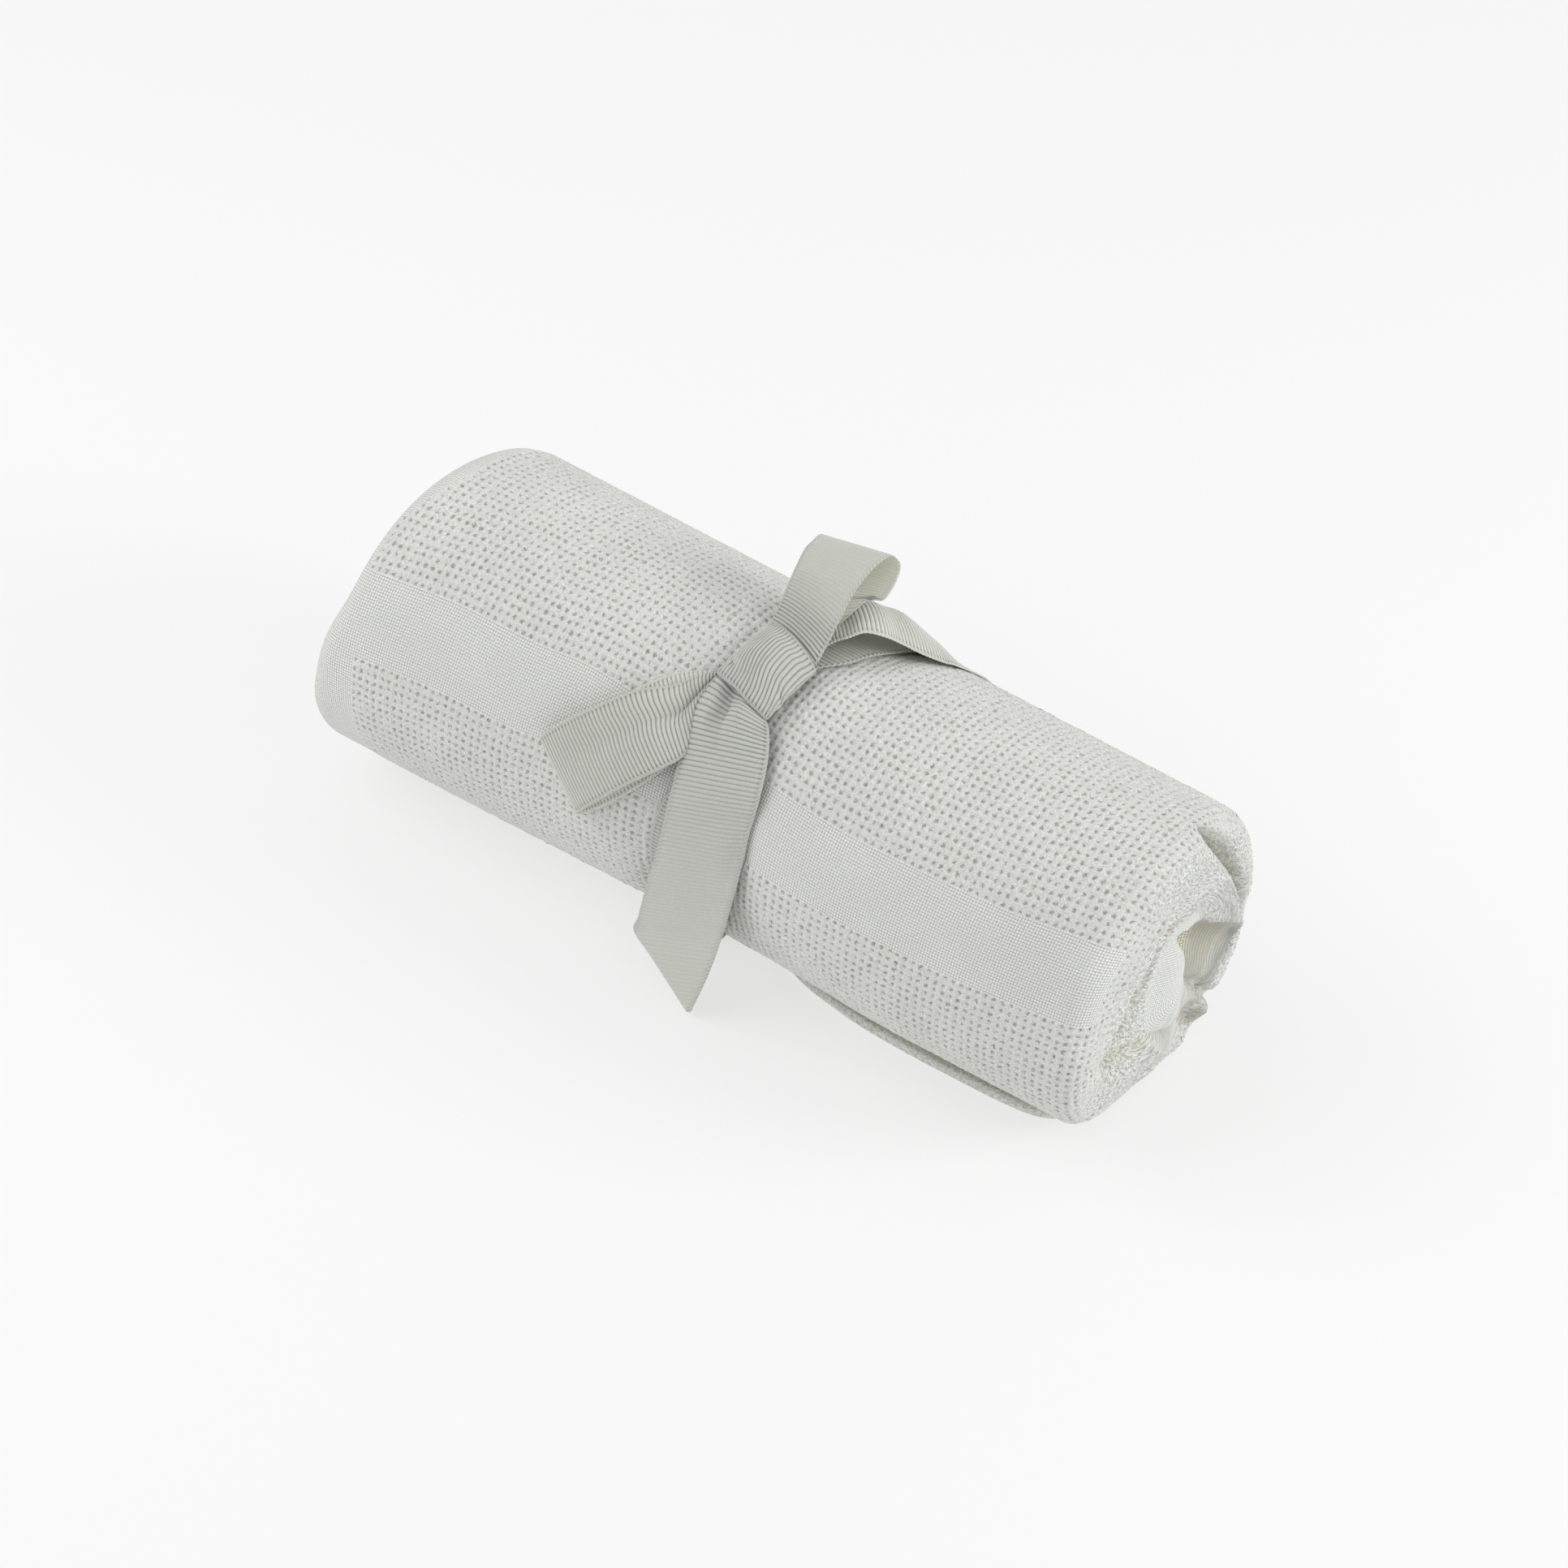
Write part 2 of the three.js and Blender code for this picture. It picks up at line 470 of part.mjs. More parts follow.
function bandPoint(turn, across, side) {
  const along = bandAt(turn, "middle") + across * bandAt(turn, "width") / 2;
  const lift = side * (tapeThick / 2) + tapeThick / 2 + tapeGap;
  const down = Math.sin(radians(-turn));
  const axis = radiusAt(along);
  const underLoose = Math.abs(turn - looseTurn.middle) < looseTurn.half;
  const drawn = pinchAt(along, underLoose ? -90 : turn);
  let radius = axis + rollSwell - drawn + lift;
  if (down > bandSteepest) {
    radius = Math.min(radius, (axis - drawn + lift) / down);
  }
  if (turn >= bandSeat[0].turn && turn <= bandSeat[bandSeat.length - 1].turn) {
    radius += hermite(bandSeat, "turn", turn, "out");
  }
  if (turn < flatTurn) {
    radius = (axis - drawn + lift) / down;
  }
  return onRoll(along, turn, radius);
}

function tapeBand() {
  const rings = [];
  for (let turn = -90; turn < 270; turn += turnStep) {
    const across = Array.from({ length: tapeAcross + 1 }, (_, j) => (2 * j) / tapeAcross - 1);
    const outer = across.map((share) => bandPoint(turn, share, 1));
    const inner = across.map((share) => bandPoint(turn, share, -1)).reverse();
    rings.push([...outer, ...inner]);
  }
  const count = rings[0].length;
  const points = rings.flat();
  const faces = [];
  rings.forEach((_, i) => {
    const next = ((i + 1) % rings.length) * count;
    for (let j = 0; j < count; j += 1) {
      const k = (j + 1) % count;
      faces.push(i * count + j, i * count + k, next + k, i * count + j, next + k, next + j);
    }
  });
  return { points, faces };
}

// The knot is solid from its outside down to the height of the band's inner face.
function tapeKnot() {
  const seated = (point, over) => {
    const axis = radiusAt(point.x);
    const away = new THREE.Vector3(0, point.y, point.z - axis);
    const seat = axis + rollSwell + tapeGap - pinchAt(point.x, turnOf(point));
    const reach = over ? away.length() + tapeThick / 2 : seat;
    away.setLength(reach);
    return new THREE.Vector3(point.x, away.y, axis + away.z);
  };
  const rings = tapeGrid(knotRows, knotSteps).map((row) => [
    ...row.map((point) => seated(point, true)),
    ...row.map((point) => seated(point, false)).reverse(),
  ]);
  return closedTube(rings);
}

const wasm = await Module();
wasm.setup();

function toManifold(solid) {
  const { points, faces } = outward(solid);
  const vertProperties = new Float32Array(points.flatMap((point) => point.toArray()));
  return new wasm.Manifold(
    new wasm.Mesh({ numProp: 3, vertProperties, triVerts: new Uint32Array(faces) }),
  );
}

function toNode(name, colour, geometry) {
  geometry.computeVertexNormals();
  const material = new THREE.MeshStandardMaterial({ name, color: colour, roughness: 1 });
  const mesh = new THREE.Mesh(geometry, material);
  mesh.name = name;
  return mesh;
}

function solidGeometry({ points, faces }) {
  const geometry = new THREE.BufferGeometry();
  const flat = points.flatMap((point) => point.toArray());
  geometry.setAttribute("position", new THREE.Float32BufferAttribute(flat, 3));
  geometry.setIndex(Array.from(faces));
  return geometry;
}

function ribbonBow() {
  const pieces = [tapeBand(), tapeKnot(), ...[frontTail, leftLoop, upperLoop, backTail].map(tapePiece)];
  const joined = pieces.map(toManifold).reduce((whole, piece) => whole.add(piece));
  const { vertProperties, triVerts } = joined.getMesh();
  const geometry = new THREE.BufferGeometry();
  geometry.setAttribute("position", new THREE.Float32BufferAttribute(vertProperties, 3));
  geometry.setIndex(Array.from(triVerts));
  return geometry;
}

const group = new THREE.Group();
group.name = "rolled_blanket";
group.add(toNode("blanket_roll", blanketColour, solidGeometry(outward(closedTube(blanketRoll(), stripTip)))));
group.add(toNode("ribbon_bow", ribbonColour, ribbonBow()));

// The origin is the middle of the whole part's footprint, on the floor.
const extent = new THREE.Box3().setFromObject(group, true);
const centre = extent.getCenter(new THREE.Vector3());
group.children.forEach((mesh) => mesh.geometry.translate(-centre.x, -centre.y, -extent.min.z));

export default group;
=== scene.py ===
import math

import bpy
import numpy as np
from mathutils import Matrix, Vector


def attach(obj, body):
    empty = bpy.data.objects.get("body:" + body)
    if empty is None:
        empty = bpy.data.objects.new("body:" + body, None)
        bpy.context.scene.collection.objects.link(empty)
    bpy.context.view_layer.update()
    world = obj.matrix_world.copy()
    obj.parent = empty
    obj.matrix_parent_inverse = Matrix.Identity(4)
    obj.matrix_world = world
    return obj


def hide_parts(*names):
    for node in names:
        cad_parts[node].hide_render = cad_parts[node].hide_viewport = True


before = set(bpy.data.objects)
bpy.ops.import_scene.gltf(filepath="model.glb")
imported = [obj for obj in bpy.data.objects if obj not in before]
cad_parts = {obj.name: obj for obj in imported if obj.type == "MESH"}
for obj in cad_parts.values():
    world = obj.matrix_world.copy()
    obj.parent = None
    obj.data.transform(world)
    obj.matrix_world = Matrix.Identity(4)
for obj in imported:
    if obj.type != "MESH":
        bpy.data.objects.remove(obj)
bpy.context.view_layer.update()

# A cellular blanket rolled up and tied with a ribbon. Lengths are in millimetres up to
# toMetres, with the roll's axis over y = 0. Turns are in degrees, 0 in front and 90 on top.
standsAt = (6.44, 2.8)  # where the roll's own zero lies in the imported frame


def table(names, *rows):  # each row of numbers with the names of its columns
    return [dict(zip(names.split(), row)) for row in rows]


roll = {
    "radius": 50.39,
    "taper": -0.0182,
    "endPlace": 133,
    "eyeBack": 11,
    "eyeDrop": 2,
    "swell": 0.35,
    "looseClear": 2.1,
    "footTurn": -30,  # past this turn the roll may lie on the loose end
    "footFade": (36, 72),  # where the pinch of the ribbon dies out towards the floor
    "sag": 1.9,  # the right half bulges at its front foot
    "sagAlong": (15, 70),
    "sagFrom": (-12, 22),
    "sagTo": (46, 66),
}
weave = {
    "across": 2.6,  # one cell along the roll
    "round": 2.74,  # one cell round it
    "skew": 0.038,
    "skewFrom": 20,
    "depth": 0.55,
    "depthLeast": 0.6,
    "depthChance": 0.8,
    "ridge": 0.32,
    "ridgeChance": 0.18,
    "hole": 0.15,
    "holeChance": 0.08,
    "holeEdge": 1.3,
}
band = {
    "pinchDepth": 1.75,
    "pinchSpread": 12,
    "margin": 0.6,
    "waistDepth": 1.8,
    "waistSpread": 80,
    "waistTurn": -30,
    "slack": 0.8,  # how much of the pinch is lost where the ribbon hangs loose in front
    "slackFrom": (15, 40),
    "slackTo": (62, 80),
}
# Where the outer cloth turns over at the ends of the roll.
rimRows = table("turn right left",
    (-90, 129, -137), (-60, 127, -145), (-45, 127.5, -148), (-25, 130, -147), (-10, 131, -144.5),
    (3, 131, -141), (15, 130.5, -138), (30, 130, -133), (45, 130.5, -131), (60, 132, -129.6),
    (80, 133, -127.6), (97, 132, -126.2), (112, 130.6, -126), (140, 130.8, -125), (180, 131.5, -126.5),
    (206, 131, -129), (225, 131, -131), (241, 131, -133), (251, 128.4, -134), (260, 128.6, -135.5),
    (270, 129, -137))
bandRows = table("turn middle width",
    (-104, -3, 26), (-80, -6.5, 18), (-65, -9.6, 12), (-54, -9.6, 11.6), (-45, -7.6, 15.2),
    (-38, -5.5, 18.9), (-30, -3.5, 22.1), (-22, -1.8, 24.7), (0, -0.9, 26), (14, -0.2, 25.6),
    (24, 0.6, 23.4), (31, 0.9, 19.4), (50, 0.8, 15), (70, 0.8, 14.6), (80, 1.8, 15), (88, 3.2, 16.4),
    (96, 5.6, 22.2), (104, 7, 24.4), (119, 10.4, 26), (150, 11.4, 26), (180, 9, 26), (225, 3, 26),
    (257, -3, 26))
# The middle of the plainly woven stripe at each place along the roll, and its half width.
stripeRows = table("along turn",
    (-150, 30.85), (-123, 32.85), (-94, 35.85), (-66, 36.35), (-44, 37.85), (18, 30.85), (45, 28.35),
    (72, 28.85), (97, 30.35), (122, 33.85), (140, 35.85))
stripe = {"half": 12.9, "level": 32.85, "edge": 0.6, "hemEdge": 0.8}
# How far in from the left-hand rim the cloth is plainly woven.
leftHem = table("turn along",
    (-104, -127), (-11, -123), (22, -122), (50, -127), (60, -127.5), (85, -119), (100, -117.5),
    (180, -118), (257, -124))


def hermite(rows, key, values, column):
    keys = np.array([row[key] for row in rows], float)
    marks = np.array([row[column] for row in rows], float)
    slopes = np.empty(len(rows))
    slopes[1:-1] = (marks[2:] - marks[:-2]) / (keys[2:] - keys[:-2])
    slopes[0] = (marks[1] - marks[0]) / (keys[1] - keys[0])
    slopes[-1] = (marks[-1] - marks[-2]) / (keys[-1] - keys[-2])
    values = np.clip(np.asarray(values, float), keys[0], keys[-1])
    i = np.clip(np.searchsorted(keys, values, side="right") - 1, 0, len(rows) - 2)
    span = keys[i + 1] - keys[i]
    t = (values - keys[i]) / span
    return (
        (2 * t**3 - 3 * t**2 + 1) * marks[i]
        + (t**3 - 2 * t**2 + t) * slopes[i] * span
        + (3 * t**2 - 2 * t**3) * marks[i + 1]
        + (t**3 - t**2) * slopes[i + 1] * span
    )


def smooth(value, low, high):
    t = np.clip((value - low) / (high - low), 0, 1)
    return t * t * (3 - 2 * t)


def radiusAt(along):
    return roll["radius"] + roll["taper"] * along


endRadius = radiusAt(roll["endPlace"])
ringRadius = endRadius + roll["swell"]


def pinchAt(along, turn):  # how far the tied ribbon draws the cloth in
    off = np.abs(along - hermite(bandRows, "turn", turn, "middle"))
    held = hermite(bandRows, "turn", turn, "width") / 2 + band["margin"]
    waist = band["waistDepth"] * np.maximum(0, np.cos(np.radians(turn - band["waistTurn"]))) ** 2
    sharp = band["pinchDepth"] * (1 - smooth(off, held, held + band["pinchSpread"]))
    full = 1 - band["slack"] * smooth(-turn, *band["slackFrom"]) * (1 - smooth(-turn, *band["slackTo"]))
    return full * (sharp + waist * (1 - smooth(off, held, band["waistSpread"])))


def eyeTurn(turn):  # the direction from the roll's eye of a place on its round outside
    angle = np.radians(turn)
    side = ringRadius * np.cos(angle) + roll["eyeBack"]
    high = ringRadius * np.sin(angle) + roll["eyeDrop"]
    return np.degrees(np.unwrap(np.arctan2(high, side)))


def rimReach(turn):  # from the eye to the outside, which is flat where it meets the floor
    angle = np.radians(turn)
    along = roll["eyeBack"] * np.cos(angle) + roll["eyeDrop"] * np.sin(angle)
    across = roll["eyeBack"] ** 2 + roll["eyeDrop"] ** 2 - along**2
    reach = np.sqrt(ringRadius**2 - across) + along
    height = np.where(turn < roll["footTurn"], roll["looseClear"], 0)
    down, least, far = -np.sin(angle), 0.4, 99
    floor = np.where(down > least, (endRadius - roll["eyeDrop"] - height) / np.maximum(down, least), far)
    return np.minimum(reach, floor)


def sagAt(along, turn):
    share = smooth(-turn, *roll["sagFrom"]) * (1 - smooth(-turn, *roll["sagTo"]))
    return roll["sag"] * smooth(along, *roll["sagAlong"]) * share


def fromEye(along, turn, reach, drawn):
    scale = radiusAt(along) / endRadius
    angle = np.radians(turn)
    out = reach * scale - drawn
    y = roll["eyeBack"] * scale - out * np.cos(angle)
    z = (endRadius - roll["eyeDrop"]) * scale + out * np.sin(angle)
    return np.stack([along + 0 * y, y, z], -1)


def outsideAt(along, turn):  # turn is measured from the eye
    face = fromEye(along, turn, rimReach(turn), 0)
    axisTurn = np.degrees(np.arctan2(face[..., 2] - radiusAt(along), -face[..., 1]))
    axisTurn = np.where((turn > 150) & (axisTurn < 0), axisTurn + 360, axisTurn)
    fade = 1 - smooth(-turn, *roll["footFade"])
    return fromEye(along, turn, rimReach(turn), pinchAt(along, axisTurn) * fade - sagAt(along, turn))


# The ends of the roll: creases and swells of the folded layers, seen along the axis.
rightEnd = {
    "side": 1,
    "start": 118,
    "rim": 7,
    "face": 131.5,
    "deep": 24,
    "slope": table("turn share",
        (-90, 0.5), (30, 0.25), (140, 0.25), (190, 0.6), (240, 0.65), (270, 0.5)),
    "lip": 2.6,
    "hollow": table("turn reach",
        (-90, 14), (-75, 9), (-50, 6.5), (-20, 5.5), (10, 6.5), (35, 9), (48, 16), (56, 23.5),
        (69, 17.8), (90, 13.5), (125, 10.5), (151, 10.5), (180, 16), (197, 24), (210, 30.5),
        (222, 31.5), (235, 29.5), (244, 27.5), (253, 22), (270, 14)),
    "creases": [
        {"name": "behind the lip", "depth": 7, "wide": 2,
         "path": [(7, 101), (12, 95), (17, 87), (23, 78), (29, 68), (34, 58), (38, 48), (41, 38), (42, 30)]},
        {"name": "beside the lobe", "depth": 5.5, "wide": 2.2,
         "path": [(-5, 75), (-11, 73), (-15, 68), (-18, 61), (-21, 54), (-25, 48.5), (-30, 45)]},
        {"name": "under the lobe", "depth": 5.5, "wide": 2.2,
         "path": [(17, 21), (10, 21), (1, 25), (-9, 30), (-19, 34), (-27, 38), (-33, 42)]},
        {"name": "pocket", "depth": 4, "wide": 3, "path": [(-31, 42), (-34, 39)]},
        {"name": "dimple", "depth": 2.5, "wide": 4, "path": [(10, 19), (16, 14)]},
        {"name": "recess", "depth": 6, "wide": 2.2, "path": [(12, 33), (19, 25), (25, 17), (31, 8)]},
    ],
    "swells": [
        {"name": "lip", "out": 2.8, "wide": 8,
         "path": [(-22, 72), (-8, 77), (4, 76), (15, 70), (24, 60), (30, 48), (34, 38)]},
        {"name": "smooth lobe", "out": 3.6, "wide": 9, "path": [(-3, 58), (-4, 46), (-3, 34)]},
        {"name": "lower lobe", "out": 2.6, "wide": 8, "path": [(-26, 28), (-16, 21), (-4, 14), (9, 9)]},
        {"name": "small lobe", "out": 2.2, "wide": 5, "path": [(20, 16), (27, 10)]},
    ],
    "plain": [{"wide": 11.5, "path": [(-1, 60), (-4, 48), (-1, 36), (6, 26)]}],
}
leftEnd = {
    "side": -1,
    "start": -106,
    "rim": 9,
    "face": -125,
    "deep": 26,
    "slope": table("turn share",
        (-90, 0.4), (270, 0.4)),
    "lip": 3,
    "hollow": table("turn reach",
        (-90, 12), (-40, 10), (0, 9), (60, 11), (120, 9), (180, 8), (230, 10), (270, 12)),
    "creases": [
        {"name": "under the outer turn", "depth": 5, "wide": 2.2,
         "path": [(-22, 80), (-6, 86), (10, 86), (26, 79), (37, 66), (41, 50), (38, 34), (30, 22)]},
        {"name": "inner turn", "depth": 4.5, "wide": 2,
         "path": [(-27, 62), (-20, 71), (-6, 76), (10, 75), (22, 67), (28, 54), (25, 40), (15, 31)]},
        {"name": "low lobe", "depth": 4, "wide": 2.2,
         "path": [(-40, 58), (-33, 50), (-22, 44), (-10, 36), (2, 29), (16, 24), (29, 16)]},
    ],
    "swells": [
        {"name": "outer turn", "out": 2.2, "wide": 7, "path": [(-20, 70), (-4, 80), (14, 78), (30, 62)]},
        {"name": "low lobe", "out": 2.5, "wide": 10, "path": [(-34, 36), (-22, 24), (-6, 16), (10, 12)]},
    ],
    "plain": [],
}


creaseShape = {"taper": 0.12, "least": 0.25, "power": 1.5}
turnover = {
    "thin": (225, 262),  # the turns where the outer layer thins out towards its edge
    "thinCurl": 0.62,
    "thinOut": 1.5,
    "curlShare": 2.3,
    "away": (5, 9),  # over how far the rim blends into the face
    "closing": (242, 268),
    "closingPoints": (1, 20),
    "plug": 4,
    "points": 60,  # on each of a line's six parts
}


def toPath(path, points):  # distance in y and z from each point to a line through the path
    path = np.array(path, float)
    keys = np.arange(len(path))
    fine = np.linspace(0, len(path) - 1, 12 * len(path))
    named = [{"i": i, "y": p[0], "z": p[1]} for i, p in zip(keys, path)]
    line = np.stack([hermite(named, "i", fine, "y"), hermite(named, "i", fine, "z")], -1)
    best = np.full(points.shape[:-1], 1e9)
    share = np.zeros(points.shape[:-1])
    for k, (a, b) in enumerate(zip(line[:-1], line[1:])):
        along = b - a
        t = np.clip(((points - a) @ along) / (along @ along), 0, 1)
        gap = np.linalg.norm(points - a - t[..., None] * along, axis=-1)
        nearer = gap < best
        best = np.where(nearer, gap, best)
        share = np.where(nearer, (k + t) / (len(line) - 1), share)
    return best, share


def endRelief(end, points):
    lift = np.zeros(points.shape[:-1])
    for item in end["swells"]:
        gap, share = toPath(item["path"], points)
        lift += item["out"] * np.exp(-((gap / item["wide"]) ** 2))
    for item in end["creases"]:
        gap, share = toPath(item["path"], points)
        ends = smooth(share, 0, creaseShape["taper"]) * smooth(1 - share, 0, creaseShape["taper"])
        ends = creaseShape["least"] + (1 - creaseShape["least"]) * ends
        trough = np.exp(-np.abs(gap / item["wide"]) ** creaseShape["power"])
        lift -= item["depth"] * ends * trough
    return lift


def endLines(end):  # lines from the round outside over the rim and down to the hollow's bottom
    turns = np.linspace(-90, 270, 721)[:, None]
    side = end["side"]
    rim = side * hermite(rimRows, "turn", turns, "right" if side > 0 else "left")
    reach = rimReach(turns)
    hollow = hermite(end["hollow"], "turn", turns, "reach")
    thin = smooth(turns, *turnover["thin"])
    curl = end["rim"] * (1 - turnover["thinCurl"] * thin)
    curl = np.minimum(curl, (reach - hollow) / turnover["curlShare"])
    hollow = np.minimum(hollow, reach - curl - end["lip"] - 0.5)
    spread = np.linspace(0, 1, turnover["points"])[None, :]

    def level(out, face):  # the face between the rim's crest and the hollow
        near, more = turnover["away"]
        away = smooth(reach - curl - out, 0, near + more * (1 - thin))
        return face + (rim - face) * (1 - away)

    face = abs(end["face"]) + turnover["thinOut"] * thin
    flat = abs(end["start"])
    parts = []
    parts.append((reach + 0 * spread, flat + (rim - curl - flat) * spread, 0 * spread + 0 * reach))
    arc = spread * np.pi / 2
    out, along = reach - curl * (1 - np.cos(arc)), rim - curl * (1 - np.sin(arc))
    parts.append((out, along, np.sin(arc) ** 2 + 0 * reach))
    out = reach - curl + (hollow + end["lip"] - reach + curl) * spread
    parts.append((out, level(out, face), 1 + 0 * out))
    out = hollow + end["lip"] * (1 - np.sin(arc))
    parts.append((out, level(out, face) - end["lip"] * (1 - np.cos(arc)), 1 + 0 * out))
    slope = hermite(end["slope"], "turn", turns, "share")
    out = hollow * (1 - slope * spread)
    edge = level(hollow, face) - end["lip"]
    floor = abs(end["face"]) - end["deep"]
    parts.append((out, edge + (floor - edge) * spread, (1 - spread) ** 2 + 0 * reach))
    out = hollow * (1 - slope) * (1 - spread)
    parts.append((out, floor - turnover["plug"] * spread * (1 + 0 * reach), 0 * out))
    out, along, weight = (np.concatenate(column, 1) for column in zip(*parts))
    closing = smooth(np.arange(out.shape[1]), *turnover["closingPoints"])[None, :]
    closing = smooth(turns, *turnover["closing"]) * closing  # the last line meets the first
    out, along = (grid + (grid[:1] - grid) * closing for grid in (out, along))
    face = fromEye(side * along, turns, out, -sagAt(end["start"], turns) * (out / reach) ** 3)
    lift = side * endRelief(end, face[..., 1:]) * weight
    return face, np.concatenate([face[..., :1] + lift[..., None], face[..., 1:]], -1)


def runAlong(lines):  # the length from a line's first point to each of its points
    steps = np.linalg.norm(np.diff(lines, axis=-2), axis=-1)
    return np.concatenate([0 * steps[..., :1], np.cumsum(steps, -1)], -1)


def lineTable(end, step=0.5):  # the same lines at even steps of their length without the relief
    smoothed, lines = endLines(end)
    run = runAlong(smoothed)
    count = int(run[:, -1].max() / step) + 2
    even = np.arange(count) * step
    points = np.empty((len(lines), count, 3))
    for i in range(len(lines)):
        for k in range(3):
            points[i, :, k] = np.interp(even, run[i], lines[i, :, k])
    crest, edge = 2 * turnover["points"] - 1, 4 * turnover["points"] - 1
    return {"points": points, "step": step, "length": run[:, -1], "crest": run[:, crest],
            "edge": run[:, edge], "start": end["start"]}


def fromTable(lines, turns, along):
    i = np.clip((turns + 90) * 2, 0, 719.999)
    j = np.clip(along / lines["step"], 0, lines["points"].shape[1] - 1.001)
    i0, j0 = i.astype(int), j.astype(int)
    a, b = (i - i0)[..., None], (j - j0)[..., None]
    points = lines["points"]
    low = points[i0, j0] * (1 - b) + points[i0, j0 + 1] * b
    high = points[i0 + 1, j0] * (1 - b) + points[i0 + 1, j0 + 1] * b
    return low * (1 - a) + high * a


def readTurns(lines, column, turns):
    return np.interp(turns, np.linspace(-90, 270, 721), lines[column])


rightLines = lineTable(rightEnd)
leftLines = lineTable(leftEnd)
chance = np.random.default_rng(7).random((2, 256, 256))


def stripSurface(axisTurns, run):  # run: along the roll from its middle, and on over its rims
    turns = eyeTurnOf(axisTurns)
    middle = outsideAt(np.clip(run, leftEnd["start"], rightEnd["start"]), turns)
    right = fromTable(rightLines, turns, run - rightEnd["start"])
    left = fromTable(leftLines, turns, leftEnd["start"] - run)
    points = np.where((run > rightEnd["start"])[..., None], right, middle)
    return np.where((run < leftEnd["start"])[..., None], left, points)


turnTable = np.linspace(-103.2, 256.8, 1441)
eyeTable = np.clip(eyeTurn(turnTable), -90, 270)


def eyeTurnOf(axisTurns):
    return np.interp(axisTurns, turnTable, eyeTable)


def cellRelief(across, around):  # the height of the cellular weave at a place counted in cells
    column, row = np.floor(across).astype(int), np.floor(around).astype(int)
    wide, tall = (chance[k][column % 256, row % 256] for k in range(2))
    u, v = across - column - 0.5, around - row - 0.5
    size = weave["hole"] + weave["holeChance"] * wide
    hole = np.exp(-(((u * u + v * v) / size ** 2) ** weave["holeEdge"]))
    ridge = weave["ridge"] * 2 * (u * u + v * v) + weave["ridgeChance"] * (tall - 0.5)
    return ridge - weave["depth"] * (weave["depthLeast"] + weave["depthChance"] * tall) * hole


def grain(across, around):  # a random height for each mesh point, the same in patches that meet
    return np.sin(across * 12.99 + around * 78.23) * 43758.5 % 1 - 0.5


def cellShare(axisTurns, run):  # 1 where the cloth is cellular, 0 where it is plainly woven
    drift = hermite(stripeRows, "along", run, "turn")
    off = np.abs(axisTurns - drift) * np.radians(1) * roll["radius"]
    share = smooth(off, stripe["half"] - stripe["edge"], stripe["half"] + stripe["edge"])
    hem = hermite(leftHem, "turn", axisTurns, "along")
    return share * smooth(run, hem - stripe["hemEdge"], hem + stripe["hemEdge"])


def normalsOf(points):
    down = np.gradient(points, axis=0)
    over = np.gradient(points, axis=1)
    normal = np.cross(down, over)
    return normal / np.maximum(np.linalg.norm(normal, axis=-1, keepdims=True), 1e-9)


def outwardNormals(points, centre):  # and -1 where the grid's own normals point inwards
    normals = normalsOf(points)
    side = 1 if np.sum(normals * (points - centre)) > 0 else -1
    return side * normals, side


def toMetres(points):
    return (points + np.array([*standsAt, 0])) / 1000


def quads(index):  # the corners of each face of a grid
    return np.stack([index[:-1, :-1], index[:-1, 1:], index[1:, 1:], index[1:, :-1]], -1).reshape(-1, 4)


def newPiece(name, points, faces, place, marks):  # marks: attributes with a value for each point
    mesh = bpy.data.meshes.new(name)
    mesh.vertices.add(len(points))
    mesh.vertices.foreach_set("co", toMetres(points).astype(np.float32).ravel())
    mesh.loops.add(faces.size)
    mesh.loops.foreach_set("vertex_index", faces.astype(np.int32).ravel())
    mesh.polygons.add(len(faces))
    mesh.polygons.foreach_set("loop_start", np.arange(0, faces.size, 4, dtype=np.int32))
    mesh.update(calc_edges=True)
    mesh.shade_smooth()
    layer = mesh.uv_layers.new(name="place")
    layer.data.foreach_set("uv", place[faces.ravel()].astype(np.float32).ravel())
    for key, value in marks.items():
        attribute = mesh.attributes.new(key, "FLOAT", "POINT")
        attribute.data.foreach_set("value", value.astype(np.float32).ravel())
    piece = bpy.data.objects.new(name, mesh)
    bpy.context.scene.collection.objects.link(piece)
    return piece


def clothPiece(name, points, place, centre, cell, fuzz, paintedShade=None, keep=None, inner=0):
    # inner: how many outer rings of points serve the normals only
    high, wide = points.shape[:2]
    normals, side = outwardNormals(points, np.array(centre))
    index = np.arange(high * wide).reshape(high, wide)[inner:high - inner, inner:wide - inner]
    faces = quads(index)
    if keep is not None:
        faces = faces[keep.reshape(-1)[faces].all(1)]
    if side > 0:
        faces = faces[:, ::-1]
    used, faces = np.unique(faces, return_inverse=True)
    marks = {"cell": cell, "fuzz": fuzz, "paintedShade": 0 * cell if paintedShade is None else paintedShade}
    marks = {key: value.reshape(-1)[used] for key, value in marks.items()}
    places = place.reshape(-1, 2)[used]
    piece = newPiece(name, points.reshape(-1, 3)[used], faces.reshape(-1, 4), places, marks)
    if inner:
        piece.data.normals_split_custom_set_from_vertices(normals.reshape(-1, 3)[used].tolist())
    return piece


